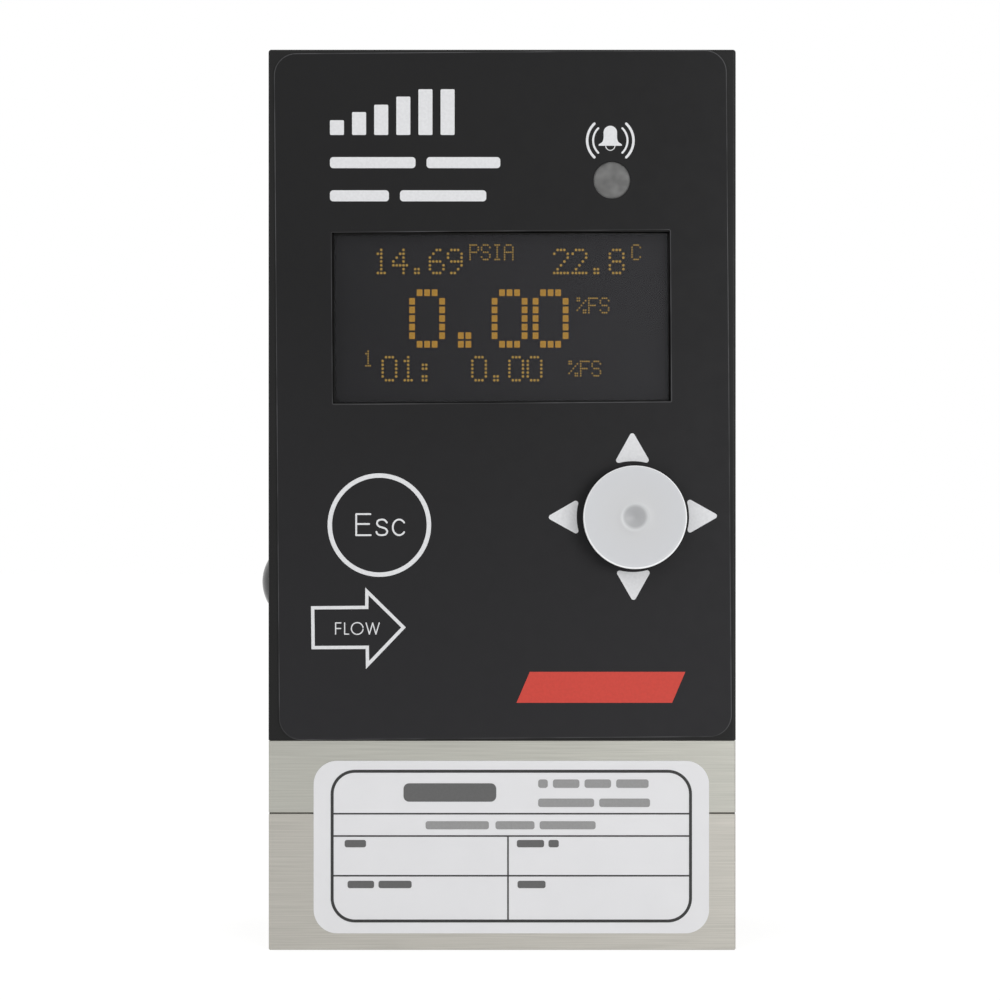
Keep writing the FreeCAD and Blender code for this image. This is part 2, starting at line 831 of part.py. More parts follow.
def gimbal_ring():
    """Ring that rocks on two side pins and carries the hub's pins."""
    y0 = pivot_y - ring_height / 2
    y1 = pivot_y + ring_height / 2
    ring = rod_y(joystick_x, joystick_z, ring_outer_radius, y0, y1)
    ring = ring.cut(rod_y(joystick_x, joystick_z, ring_inner_radius, y0, y1))
    ring = ring.fuse(pins("x", ring_inner_radius + pin_root, stick_case / 2 - slot_end_wall - pin_end_gap))
    hole = pin_radius + pin_play
    return ring.cut(rod_z(joystick_x, pivot_y, hole, joystick_z - ring_outer_radius - 1,
                          joystick_z + ring_outer_radius + 1))


def stick_hub():
    """Bored hub that rocks in the ring and guides the stem."""
    y0 = pivot_y - hub_height / 2
    y1 = pivot_y + hub_height / 2
    hub = rod_y(joystick_x, joystick_z, hub_radius, y0, y1)
    hub = hub.fuse(pins("z", stem_radius + pin_root, ring_outer_radius - pin_end_gap))
    return hub.cut(rod_y(joystick_x, joystick_z, stem_radius + stem_play, y0, y1))


def joystick_stem():
    """Stem through the hub, up into the knob."""
    return rod_y(joystick_x, joystick_z, stem_radius, knob_back, pivot_y + hub_height / 2 + stem_tail)


def joystick_knob():
    """Round dished knob with a small dimple in the middle and a hub round the stem."""
    knob = rod_y(joystick_x, joystick_z, knob_radius, knob_front, knob_back)
    knob = knob.makeFillet(knob_edge, [e for e in knob.Edges if e.CenterOfMass.y < knob_front + 0.01])
    dish_radius = knob_radius - knob_edge
    sphere = (dish_radius ** 2 + knob_dish ** 2) / (2 * knob_dish)
    knob = knob.cut(Part.makeSphere(sphere, vec(joystick_x, knob_front + knob_dish - sphere, joystick_z)))
    dimple = (knob_dimple_radius ** 2 + knob_dimple_depth ** 2) / (2 * knob_dimple_depth)
    knob = knob.cut(Part.makeSphere(dimple, vec(joystick_x, knob_front + knob_dish + knob_dimple_depth - dimple,
                                                joystick_z)))
    collar = rod_y(joystick_x, joystick_z, knob_hub_radius, knob_back, film_front)
    collar = collar.cut(rod_y(joystick_x, joystick_z, stem_radius, knob_back, film_front))
    return knob.fuse(collar)


# Escape key

def escape_plunger():
    """Disc under the film with a stop flange and a post to the switch."""
    cap_front = front + escape_film_gap
    stop = inner_front + escape_film_gap
    cap = rod_y(escape_x, escape_z, escape_cap_radius, cap_front, stop + escape_flange_thickness)
    flange = rod_y(escape_x, escape_z, escape_hole_radius + escape_flange, stop, stop + escape_flange_thickness)
    post_end = board_front - switch_height - switch_stem_rise
    return cap.fuse([flange, rod_y(escape_x, escape_z, escape_post_radius, stop, post_end)]).removeSplitter()


def escape_switch():
    """Square push switch on the display board."""
    case = block_at(escape_x, escape_z, switch_case, switch_case, board_front - switch_height, board_front)
    hole = switch_stem_radius + switch_stem_play
    return case.cut(rod_y(escape_x, escape_z, hole, board_front - switch_height,
                          board_front - switch_height + switch_stem_depth + switch_stem_travel))


def escape_switch_stem():
    """Short stem between the plunger's post and the inside of the switch."""
    post_end = board_front - switch_height - switch_stem_rise
    inner_end = board_front - switch_height + switch_stem_depth
    return rod_y(escape_x, escape_z, switch_stem_radius, post_end, inner_end)


# Circuit boards

def board(y0, y1):
    """A board with a hole at each corner."""
    plate = box(-board_width / 2, board_width / 2, y0, y1, board_low, board_high)
    holes = [rod_y(x, z, board_screw_radius + board_hole_play, y0, y1)
             for x, z in four_places(board_hole_x, board_hole_zs)]
    return plate.cut(holes)


def display_board():
    """Front board, drilled for the lamp's wires."""
    hole = led_wire + 2 * led_wire_play
    wires = [block_at(led_x + side * led_wire_spacing / 2, led_z, hole, hole, board_front, board_back)
             for side in (-1, 1)]
    return board(board_front, board_back).cut(wires)


def board_spacers():
    """Hexagonal spacers whose studs pass the display board into the housing bosses."""
    spacers = []
    for x, z in four_places(board_hole_x, board_hole_zs):
        body = hexagon_y(x, z, spacer_flats, board_back, main_front)
        stud = rod_y(x, z, board_screw_radius, board_front - stud_length, board_back)
        hole = rod_y(x, z, board_screw_radius + thread_play, main_front - stud_length - 1, main_front)
        spacers.append(body.fuse(stud).cut(hole))
    return compound(spacers)


def board_screws():
    """Small screws that hold the main board on the spacers."""
    screws = []
    for x, z in four_places(board_hole_x, board_hole_zs):
        shank = rod_y(x, z, board_screw_radius, main_front - stud_length, main_back)
        head = rod_y(x, z, board_screw_head_radius, main_back, main_back + board_screw_head_height)
        head_end = main_back + board_screw_head_height
        socket = hexagon_y(x, z, board_screw_socket_flats, head_end - board_screw_socket_depth, head_end)
        screws.append(shank.fuse(head).cut(socket))
    return compound(screws)


def board_link():
    """Plug-in header between the two upright boards."""
    return block_at(0, board_low + link_up, link_width, link_height, board_back, main_front)


def processor_chip():
    return block_at(0, window_z, chip_size, chip_size, main_front - chip_thickness, main_front)


def power_capacitors():
    """Three upright capacitors on the front of the main board."""
    return compound([rod_y(i * capacitor_pitch, led_z - capacitor_drop, capacitor_radius,
                           main_front - capacitor_length, main_front) for i in (-1, 0, 1)])


def alarm_relays():
    """Two alarm relays side by side on the back of the main board."""
    return compound([block_at(side * (relay_width + relay_gap) / 2, joystick_z, relay_width, relay_height,
                              main_back, main_back + relay_depth) for side in (-1, 1)])


# Rear connector

def connector_corners(grow):
    """Corner points of the connector's D-shaped outline."""
    top = connector_shell_width / 2 + grow
    high = connector_z + connector_shell_height / 2 + grow
    low = connector_z - connector_shell_height / 2 - grow
    bottom = top - (high - low) * math.tan(math.radians(connector_shell_slope))
    return [(-bottom, low), (bottom, low), (top, high), (-top, high)]


def connector_outline(grow, y0, y1):
    return round_upright(front_prism(connector_corners(grow), y0, y1), connector_shell_corner)


def signal_connector():
    """Nine-way socket: flange behind the cover and a hollow shell through it."""
    flange = block_at(0, connector_z, connector_flange_width, connector_flange_height,
                      connector_flange_y, cover_front)
    for side in (-1, 1):
        flange = flange.cut(rod_y(side * jackscrew_spacing / 2, connector_z,
                                  jackscrew_stud_radius + thread_play, connector_flange_y, cover_front))
    shell = connector_outline(0, cover_front, cover_front + connector_shell_length)
    hollow = connector_outline(-connector_shell_wall, connector_flange_y, cover_front + connector_shell_length)
    return flange.fuse(shell).cut(hollow).removeSplitter()


def connector_core():
    """Insulator with nine contact holes, and its back block down to the main board."""
    mouth = cover_front + connector_shell_length - connector_core_recess
    core = connector_outline(-connector_shell_wall - opening_play, connector_flange_y, mouth)
    rear = block_at(0, connector_z, connector_back_width, connector_back_height, main_back, connector_flange_y)
    holes = []
    for count, side in ((5, 1), (4, -1)):
        for i in range(count):
            x = (i - (count - 1) / 2) * connector_pin_pitch
            z = connector_z + side * connector_pin_row_gap / 2
            holes.append(rod_y(x, z, connector_pin_hole_radius, mouth - connector_pin_depth, mouth))
    return core.cut(holes).fuse(rear).removeSplitter()


def jackscrews():
    """Hexagonal screw posts on both sides of the connector."""
    posts = []
    for side in (-1, 1):
        x = side * jackscrew_spacing / 2
        post = hexagon_y(x, connector_z, jackscrew_flats, back, back + jackscrew_length)
        stud = rod_y(x, connector_z, jackscrew_stud_radius, connector_flange_y - jackscrew_stud_length, back)
        hole = rod_y(x, connector_z, jackscrew_thread_radius, back + jackscrew_length - jackscrew_hole_depth,
                     back + jackscrew_length)
        posts.append(post.fuse(stud).cut(hole))
    return compound(posts)


# Steel blocks and what they hold

def flow_body():
    """Lower block: through bore with a threaded port at each end, taps and screw holes."""
    block = box(-half, half, block_front, block_back, 0, joint_z)
    block = block.makeChamfer(block_edge, block.Edges)
    cuts = [rod_x(0, bore_z, bore_radius, -half, laminar_length / 2)]
    cuts.append(rod_x(0, bore_z, outlet_bore_radius, 0, half))
    for side in (-1, 1):
        mouth = side * half
        inner = side * (half - port_depth)
        cuts.append(rod_x(0, bore_z, port_radius, min(mouth, inner), max(mouth, inner)))
        cuts.append(Part.makeCone(port_radius + port_chamfer, port_radius, port_chamfer,
                                  vec(mouth, 0, bore_z), vec(-side, 0, 0)))
    cuts += [rod_z(x, 0, tap_radius, bore_z, joint_z) for x in tap_xs]
    cuts += [rod_z(x, 0, seal_radius + seal_section / 2 + seal_play, joint_z - seal_section, joint_z)
             for x in tap_xs]
    for x, y in four_places(block_screw_x, (-block_screw_y, block_screw_y)):
        cuts.append(rod_z(x, y, block_screw_radius + block_screw_clearance, 0, joint_z))
        cuts.append(rod_z(x, y, block_screw_head_radius + counterbore_play, 0, counterbore_depth))
    cuts += [rod_z(x, y, mounting_hole_radius, 0, mounting_hole_depth)
             for x, y in four_places(mounting_spacing_x / 2, (-mounting_spacing_y / 2, mounting_spacing_y / 2))]
    return block.cut(cuts)


def manifold_block():
    """Upper block: carries the sensors over the taps."""
    block = box(-half, half, block_front, block_back, joint_z, deck_z)
    block = block.makeChamfer(block_edge, block.Edges)
    cuts = [rod_z(x, 0, tap_radius, joint_z, deck_z) for x in tap_xs]
    cuts += [rod_z(x, 0, nozzle_seat_radius, deck_z - nozzle_seat_depth, deck_z) for x in pressure_tap_xs]
    cuts += [rod_z(x, y, block_screw_radius + block_screw_clearance, joint_z, deck_z)
             for x, y in four_places(block_screw_x, (-block_screw_y, block_screw_y))]
    return block.cut(cuts)


def block_screws():
    """Socket screws from the base through both blocks into the housing lugs."""
    screws = []
    head_top = counterbore_depth
    for x, y in four_places(block_screw_x, (-block_screw_y, block_screw_y)):
        head = rod_z(x, y, block_screw_head_radius, head_top - block_screw_head_height, head_top)
        shank = rod_z(x, y, block_screw_radius, head_top, floor_z + block_screw_grip - block_screw_end_gap)
        socket = rod_z(x, y, block_screw_socket_radius, head_top - block_screw_head_height,
                       head_top - block_screw_head_height + block_screw_socket_depth)
        screws.append(head.fuse(shank).cut(socket))
    return compound(screws)


def pattern_holes(hole_radius, x0, x1):
    """Parallel holes along X in rings about the bore."""
    holes = []
    for radius, count in zip(laminar_ring_radii, laminar_ring_counts):
        for i in range(count):
            angle = 2 * math.pi * i / count
            holes.append(rod_x(radius * math.cos(angle), bore_z + radius * math.sin(angle),
                               hole_radius, x0, x1))
    return holes


def laminar_flow_element():
    """Round plug of parallel capillaries that fills the middle of the bore."""
    x0 = -laminar_length / 2
    x1 = laminar_length / 2
    return rod_x(0, bore_z, bore_radius - flow_fit, x0, x1).cut(pattern_holes(laminar_hole_radius, x0, x1))


def inlet_screen():
    x1 = -half + port_depth + ring_thickness + screen_thickness
    x0 = x1 - screen_thickness
    return rod_x(0, bore_z, bore_radius - flow_fit, x0, x1).cut(pattern_holes(screen_hole_radius, x0, x1))


def screen_ring():
    """Ring that holds the inlet screen in the bore."""
    x0 = -half + port_depth
    outer = rod_x(0, bore_z, bore_radius - flow_fit, x0, x0 + ring_thickness)
    return outer.cut(rod_x(0, bore_z, bore_radius - flow_fit - ring_width, x0, x0 + ring_thickness))


def seals(xs, low):
    """Rubber rings around the taps, squeezed flat where they touch the blocks."""
    rings = []
    for x in xs:
        ring = rod_z(x, 0, seal_radius + seal_section / 2, low, low + seal_section)
        ring = ring.cut(rod_z(x, 0, seal_radius - seal_section / 2, low, low + seal_section))
        rings.append(ring.makeChamfer(seal_chamfer, [e for e in ring.Edges if runs_round(e)]))
    return compound(rings)


def runs_round(edge):
    """Whether an edge is a full circle."""
    return edge.Curve.TypeId == "Part::GeomCircle"


def nozzle(x):
    """Hollow sensor nozzle in its seat on the manifold."""
    tube = rod_z(x, 0, nozzle_radius, deck_z - nozzle_depth, sensor_foot)
    return tube.cut(rod_z(x, 0, tap_radius, deck_z - nozzle_depth, sensor_foot))


def difference_pressure_sensor():
    """Sensor block that spans the taps on both sides of the laminar element."""
    w = inner_tap_x + difference_sensor_margin
    body = box(-w, w, -difference_sensor_depth / 2, difference_sensor_depth / 2,
               sensor_foot, sensor_board_low)
    return body.fuse([nozzle(-inner_tap_x), nozzle(inner_tap_x)]).removeSplitter()


def absolute_pressure_sensor():
    body = box(-outer_tap_x - absolute_sensor_width / 2, -outer_tap_x + absolute_sensor_width / 2,
               -absolute_sensor_depth / 2, absolute_sensor_depth / 2, sensor_foot, sensor_board_low)
    return body.fuse(nozzle(-outer_tap_x)).removeSplitter()


def temperature_probe():
    """Thin probe that hangs into the gas stream from a round head."""
    stem = rod_z(probe_x, 0, probe_radius, bore_z, deck_z)
    head = rod_z(probe_x, 0, probe_head_radius, deck_z, sensor_board_low)
    return head.fuse(stem)


def sensor_posts():
    """Two posts at opposite corners that carry the sensor board off the manifold."""
    return compound([rod_z(side * sensor_post_x, side * sensor_post_y, sensor_post_radius,
                           deck_z, sensor_board_low) for side in (-1, 1)])


def sensor_board():
    return box(-sensor_board_width / 2, sensor_board_width / 2, -sensor_board_depth / 2,
               sensor_board_depth / 2, sensor_board_low, sensor_board_high)


def sensor_header():
    """Right-angle header from the sensor board to the foot of the main board."""
    return box(-header_width / 2, header_width / 2, main_front - header_depth, main_front,
               sensor_board_high, sensor_board_high + header_height)


nodes = {
    "housing": housing,
    "rear_cover": rear_cover,
    "rear_gasket": rear_gasket,
    "cover_screws": cover_screws,
    "side_plug": side_plug,
    "front_overlay": front_overlay,
    "overlay_print": overlay_print,
    "direction_arrows": direction_arrows,
    "accent_mark": accent_mark,
    "rating_label": rating_label,
    "label_print": label_print,
    "display_lens": display_lens,
    "display_panel": display_panel,
    "display_figures": display_figures,
    "display_frame": display_frame,
    "alarm_lamp": alarm_lamp,
    "joystick_knob": joystick_knob,
    "joystick_stem": joystick_stem,
    "stick_hub": stick_hub,
    "gimbal_ring": gimbal_ring,
    "joystick_case": joystick_case,
    "joystick_lid": joystick_lid,
    "escape_plunger": escape_plunger,
    "escape_switch_stem": escape_switch_stem,
    "escape_switch": escape_switch,
    "display_board": display_board,
    "main_board": lambda: board(main_front, main_back),
    "board_spacers": board_spacers,
    "board_screws": board_screws,
    "board_link": board_link,
    "processor_chip": processor_chip,
    "power_capacitors": power_capacitors,
    "alarm_relays": alarm_relays,
    "signal_connector": signal_connector,
    "connector_core": connector_core,
    "jackscrews": jackscrews,
    "flow_body": flow_body,
    "manifold_block": manifold_block,
    "block_screws": block_screws,
    "laminar_flow_element": laminar_flow_element,
    "inlet_screen": inlet_screen,
    "screen_ring": screen_ring,
    "tap_seals": lambda: seals(tap_xs, joint_z - seal_section),
    "nozzle_seals": lambda: seals(pressure_tap_xs, deck_z - nozzle_seat_depth),
    "difference_pressure_sensor": difference_pressure_sensor,
    "absolute_pressure_sensor": absolute_pressure_sensor,
    "temperature_probe": temperature_probe,
    "sensor_posts": sensor_posts,
    "sensor_board": sensor_board,
    "sensor_header": sensor_header,
}

os.makedirs("parts", exist_ok=True)
for name, make in nodes.items():
    shape = make()
    if not shape.isValid():
        raise ValueError("invalid shape: " + name)
    shape.exportStep("parts/" + name + ".step")
    print(name, len(shape.Solids), round(shape.Volume, 3))
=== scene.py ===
import json
import math

import bmesh
import bpy
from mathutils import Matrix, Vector


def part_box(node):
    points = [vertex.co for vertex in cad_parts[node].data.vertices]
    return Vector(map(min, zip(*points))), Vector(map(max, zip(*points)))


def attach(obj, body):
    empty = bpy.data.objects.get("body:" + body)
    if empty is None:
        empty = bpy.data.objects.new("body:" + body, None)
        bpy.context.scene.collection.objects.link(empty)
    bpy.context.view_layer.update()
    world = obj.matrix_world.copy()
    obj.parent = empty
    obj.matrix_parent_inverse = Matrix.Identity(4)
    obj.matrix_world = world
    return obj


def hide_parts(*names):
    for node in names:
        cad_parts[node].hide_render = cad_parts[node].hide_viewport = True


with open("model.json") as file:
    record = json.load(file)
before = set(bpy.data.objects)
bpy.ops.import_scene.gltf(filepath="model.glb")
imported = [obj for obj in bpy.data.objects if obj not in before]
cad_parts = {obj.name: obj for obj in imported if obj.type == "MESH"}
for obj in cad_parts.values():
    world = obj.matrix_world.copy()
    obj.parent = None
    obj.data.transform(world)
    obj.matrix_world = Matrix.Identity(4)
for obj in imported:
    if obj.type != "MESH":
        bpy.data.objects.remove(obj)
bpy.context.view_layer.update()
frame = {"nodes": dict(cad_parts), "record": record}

# Lengths below are in millimetres, in the frame of the CAD: X across the front, Z up
MM = 0.001

# Camera, level in front of the meter
camera_x = -0.29
camera_z = 61.2
camera_distance = 300.0
view_width = 135.75
sensor_width = 36.0

# Film, stuck on a part of a degree askew, and its window
film_skew = 0.45
# Painted light on the film: greyer with distance from this point, over this reach
film_painted_light_from = (-8, 114)
film_painted_light_reach = 88
# Width of the band of painted highlight along the film's cut edges
film_edge_line = 0.11
film_corner = 3.0
lens_step = 2.0
opening_play = 0.1
window_corner = 0.15
# Painted shade: a black band on the lens just inside the window, widest in one corner
painted_shade_line = 0.2
painted_shade_thickness = 0.03
painted_shade_corner = 1.0
joystick_opening = 4.2

# Painted shade: a dark strip in the joint of the two blocks
joint_depth = 0.09
joint_height = 0.055

# Lamp
lamp_play = 0.01
lamp_dome = 0.1
lamp_ring = 0.14
lamp_groove = 0.04
lamp_groove_width = 0.04
lamp_edge = 0.03
lamp_rim_radius = 2.9
lamp_rim = 1.0
lamp_length = 7.2
lamp_wire = 0.5
lamp_wire_corner = 0.1
lamp_wire_spacing = 2.54
lamp_opening = 2.5
lamp_film_gap = 0.02

# Arrowheads round the knob
arrows_left = 0.12
arrows_inward = 0.1

# Thickness of the ink, and the hair between strokes that cross
ink = 0.03
layer_step = 0.002

# Ring and its word, placed from the ring's middle
escape_ring_radius = 7.02
escape_ring_line = 0.6
escape_line = 0.24
escape_cap_height = 3.1
escape_small_height = 2.36
escape_foot = -1.49
escape_e = (-3.14, [(1, -1.22), (0.53, -1.38), (0, -1.18)])
escape_s = [(1.02, 0.62), (0.72, 0.93), (0.3, 1), (-0.14, 0.88), (-0.32, 0.5), (-0.06, 0.14), (0.35, 0),
            (0.85, -0.18), (1.07, -0.52), (0.85, -0.9), (0.3, -1), (-0.19, -0.9), (-0.4, -0.58)]
escape_c_middle = 2.68
escape_c_half_width = 0.86
escape_c_gap = 38

# Arrow and its word
flow_outline = [(-25.92, 46.8), (-18.58, 46.86), (-18.56, 49.34), (-13.06, 43.93),
                (-18.47, 38.28), (-18.51, 41.0), (-25.85, 40.96)]
flow_line = 0.45
flow_word_line = 0.15
flow_word_foot = 42.94
flow_word_height = 1.67
flow_f = (-22.58, [(1, -21.86), (0.5, -21.9)])
flow_l = (-21.36, [(0, -20.8)])
flow_o_middle = -19.65
flow_o_swell = 1.05
flow_w = [(-18.45, 1), (-18.0, 0), (-17.56, 1), (-17.12, 0), (-16.67, 1)]

# Bell, with its right side from its middle, and the radius, line and half spread of its arcs
bell_x = 14.67
bell_z = 110.1
bell_crown_radius = 0.92
bell_crown_up = 0.93
bell_side = [(0.92, 0.93), (0.92, 0.2), (1.08, -0.32), (1.54, -0.66), (1.57, -0.86)]
bell_arcs = [(3.14, 0.34, 46.5), (2.33, 0.27, 45.5)]
bell_arcs_down = 0.15
clapper_radius = 0.63
clapper_line = 0.11
clapper_down = 0.85

# Bars in the title's place
title_x = -23.35
title_top = 116.9
title_bar_width = 1.9
title_bar_gap = 1.1
title_bar_corner = 0.15
title_bar_heights = [2.0, 3.1, 4.1, 5.2, 6.2, 6.2]
title_line_height = 1.5
title_line_corner = 0.45
title_line_pitch = 4.5
title_word_gap = 1.5
title_words = [[11.6, 10.0], [8.0, 11.7]]

# Dots of the display
bead_limit = 0.6
bead_radius = 0.185
square_trim = 0.08
square_corner = 0.06

# Small units of the display, drawn as rows of dots: each word with its left end and top
unit_pitch_x = 0.283
unit_pitch_z = 0.33
unit_pitch_letter = 1.58
unit_dot = 0.23
unit_words = [("PSIA", -4.4, 96.18), ("C", 17.82, 96.18), ("%FS", 10.32, 88.88),
              ("1", -18.95, 81.6), ("%FS", 9.2, 80.22)]
unit_figures = {
    "P": ("oooo ", "o   o", "o   o", "oooo ", "o    ", "o    ", "o    "),
    "S": (" ooo ", "o   o", "o    ", " ooo ", "    o", "o   o", " ooo "),
    "I": (" ooo ", "  o  ", "  o  ", "  o  ", "  o  ", "  o  ", " ooo "),
    "A": (" ooo ", "o   o", "o   o", "ooooo", "o   o", "o   o", "o   o"),
    "C": (" ooo ", "o   o", "o    ", "o    ", "o    ", "o   o", " ooo "),
    "%": ("oo   ", "oo  o", "   o ", "  o  ", " o   ", "o  oo", "   oo"),
    "F": ("ooooo", "o    ", "o    ", "oooo ", "o    ", "o    ", "o    "),
    "1": ("  o  ", " oo  ", "  o  ", "  o  ", "  o  ", "  o  ", " ooo "),
}

# Knob, turned about its axis, with its colours in shares of the tone's reach, which paint shade in its
# dimple and highlights on its halo and rim
knob_thickness = 1.7
knob_painted_light_reach = 7
knob_edge = 0.14
knob_sag = 0.08
knob_back_edge = 0.2
knob_dish = 0.18
knob_lip_radius = 1.95
knob_lip = 0.05
knob_dimple_radius = 1.6
knob_dimple = 0.3
knob_collar_radius = 2.5
knob_bore_radius = 1.5

# Bars in the place of the label's words: left end, middle height, length and height of each
label_bar_corner = 0.3
label_dark_bars = [(-13.4, 21.45, 12.6, 2.5), (-21.4, 14.5, 2.9, 1.0), (2.0, 14.5, 3.7, 1.0),
                   (6.3, 14.5, 1.4, 1.0), (-21.0, 8.95, 3.6, 1.0), (-16.8, 8.95, 4.5, 1.0),
                   (2.1, 8.95, 3.8, 1.0)]
label_grey_bars = [(4.9, 22.65, 1.3, 1.15), (6.9, 22.65, 3.6, 1.15), (11.2, 22.65, 3.6, 1.15),
                   (15.5, 22.65, 4.4, 1.15), (4.9, 20.05, 7.6, 1.15), (13.2, 20.05, 6.9, 1.15),
                   (-10.4, 17.0, 8.6, 1.1), (-0.9, 17.0, 5.3, 1.1), (5.1, 17.0, 7.6, 1.1)]

# Port threads, with their section in shares of pitch and height, and connector contacts
port_radius = 4.3
thread_pitch = 0.94
thread_height = 0.42
thread_start = 0.8
thread_turns = 9
thread_steps = 32
thread_section = [(0.05, 0), (0.5, 1), (0.89, 0)]
contact_pitch = 2.76
contact_row_gap = 2.84
contact_radius = 0.5
contact_bore = 0.32
contact_recess = 0.5
contact_length = 3.6

# Range that noise mostly keeps to
noise_low = 0.3
noise_high = 0.7

# Floor, and brightness of the background as light
floor_half = 1500.0
floor_drop = 0.05
floor_grey = 0.8
floor_seen_grey = 0.35
floor_glow = 0.78
sky_light = 0.71

# Lamps: place, target and size in metres, and power in watts
lamps = {
    "key": ((0.34, -0.58, 0.09), (0, 0, 0.05), 0.3, 1.5),
    "fill": ((-0.55, -0.75, 0.7), (0, 0, 0.06), 0.5, 1.2),
}


# Outlines in the front plane, as lists of points x, z

def arc(x, z, radius, start, end, steps):
    """Points on an arc about x, z between two angles in degrees."""
    angles = [math.radians(start + (end - start) * i / steps) for i in range(steps + 1)]
    return [(x + radius * math.cos(a), z + radius * math.sin(a)) for a in angles]


def circle(x, z, radius, steps=96):
    """Points round a full circle about x, z."""
    return arc(x, z, radius, 0, 360, steps)[:-1]


def rounded_corners(middle, width, height, radii, steps=8):
    """A box whose corners have their own radii, from the upper right one anticlockwise."""
    points = []
    for radius, side, rise, turn in zip(radii, (1, -1, -1, 1), (1, 1, -1, -1), (0, 90, 180, 270)):
        points += arc(middle.x + side * (width / 2 - radius), middle.z + rise * (height / 2 - radius),
                      radius, turn, turn + 90, steps)
    return points


def rounded_box(x, z, width, height, radius, steps=8):
    """A box with round corners, centred at x, z."""
    return rounded_corners(Vector((x, 0, z)), width, height, [radius] * 4, steps)


def smooth_path(points, steps=6):
    """A smooth open path through points."""
    ends = [points[0]] + points + [points[-1]]
    path = []
    for a, b, c, d in zip(ends, ends[1:], ends[2:], ends[3:]):
        for i in range(steps):
            t = i / steps
            path.append(tuple(0.5 * (2 * q + (r - p) * t + (2 * p - 5 * q + 4 * r - s) * t ** 2
                                     + (3 * q - p - 3 * r + s) * t ** 3)
                              for p, q, r, s in zip(a, b, c, d)))
    return path + [points[-1]]


def stroke(path, line, cap_steps=6):
    """The outline of a pen stroke with round ends along an open path."""
    left = []
    right = []
    for i, (x, z) in enumerate(path):
        before = path[max(i - 1, 0)]
        after = path[min(i + 1, len(path) - 1)]
        along = math.atan2(after[1] - before[1], after[0] - before[0])
        dx = -math.sin(along) * line / 2
        dz = math.cos(along) * line / 2
        left.append((x + dx, z + dz))
        right.append((x - dx, z - dz))
    start = math.degrees(math.atan2(path[1][1] - path[0][1], path[1][0] - path[0][0]))
    end = math.degrees(math.atan2(path[-1][1] - path[-2][1], path[-1][0] - path[-2][0]))
    end_cap = arc(*path[-1], line / 2, end + 90, end - 90, cap_steps)[1:-1]
    start_cap = arc(*path[0], line / 2, start - 90, start - 270, cap_steps)[1:-1]
    return left + end_cap + right[::-1] + start_cap


def inset(outline, distance):
    """The same corners moved inwards by an even distance, for an outline that runs clockwise."""
    moved = []
    count = len(outline)
    for i, (x, z) in enumerate(outline):
        a = Vector(outline[i]) - Vector(outline[i - 1])
        b = Vector(outline[(i + 1) % count]) - Vector(outline[i])
        normal_a = Vector((a.y, -a.x)).normalized()
        normal_b = Vector((b.y, -b.x)).normalized()
        corner = normal_a + normal_b
        corner *= distance / max(corner.dot(normal_a), 0.1)
        moved.append((x + corner.x, z + corner.y))
    return moved


# Meshes

def metres(x, y, z):
    """A point of the scene, in metres, from its place in millimetres."""
    return Vector((x * MM, y * MM, z * MM))


def add_slab(mesh, outline, front, back):
    """A flat plate of an outline, without holes, between two depths."""
    near = [mesh.verts.new(metres(x, front, z)) for x, z in outline]
    far = [mesh.verts.new(metres(x, back, z)) for x, z in outline]
    mesh.faces.new(near)
    mesh.faces.new(far[::-1])
    for i in range(len(outline)):
        mesh.faces.new((near[i - 1], near[i], far[i], far[i - 1]))


def add_strokes(mesh, paths, line, front, back):
    """Pen strokes, each a hair deeper than the last so that no two faces share a plane."""
    for i, path in enumerate(paths):
        add_slab(mesh, stroke(path, line), front + i * layer_step, back)


def join_rings(mesh, rings):
    """Faces between each closed ring of points and the next."""
    for a, b in zip(rings, rings[1:]):
        for i in range(len(a)):
            corners = list(dict.fromkeys((a[i - 1], a[i], b[i], b[i - 1])))
            if len(corners) > 2:
                mesh.faces.new(corners)


def add_band(mesh, outer, inner, front, back):
    """A flat closed band between two outlines with the same number of points."""
    rings = [[mesh.verts.new(metres(x, y, z)) for x, z in outline]
             for outline, y in ((outer, front), (inner, front), (inner, back), (outer, back))]
    join_rings(mesh, rings + rings[:1])


def add_turned(mesh, profile, place, steps):
    """A closed profile of points radius, depth, turned about an axis along Y through x, z."""
    x, z = place
    rings = []
    for radius, y in profile:
        if radius == 0:
            rings.append([mesh.verts.new(metres(x, y, z))] * steps)
        else:
            rings.append([mesh.verts.new(metres(px, y, pz)) for px, pz in circle(x, z, radius, steps)])
    join_rings(mesh, rings + rings[:1])


def close_mesh(mesh, name, smooth_angle=None):
    """Turns the faces outwards and makes the mesh."""
    bmesh.ops.recalc_face_normals(mesh, faces=mesh.faces)
    made = bpy.data.meshes.new(name)
    mesh.to_mesh(made)
    mesh.free()
    if smooth_angle:
        made.shade_smooth()
        made.set_sharp_from_angle(angle=math.radians(smooth_angle))
    return made


def filled_plate(name, outline, holes, front, back):
    """A flat plate with holes, filled by a 2D curve."""
    curve = bpy.data.curves.new(name, "CURVE")
    curve.dimensions = "2D"
    curve.fill_mode = "BOTH"
    curve.extrude = (back - front) / 2 * MM
    for points in [outline] + holes:
        spline = curve.splines.new("POLY")
        spline.points.add(len(points) - 1)
        for point, (x, z) in zip(spline.points, points):
            point.co = (x * MM, z * MM, 0, 1)
        spline.use_cyclic_u = True
    made = bpy.data.objects.new(name + "_curve", curve)
    bpy.context.scene.collection.objects.link(made)
    mesh = bpy.data.meshes.new_from_object(made.evaluated_get(bpy.context.evaluated_depsgraph_get()))
    bpy.data.objects.remove(made)
    for vertex in mesh.vertices:
        x, z, out = vertex.co
        vertex.co = (x, (front + back) / 2 * MM - out, z)
    mesh.update()
    return mesh


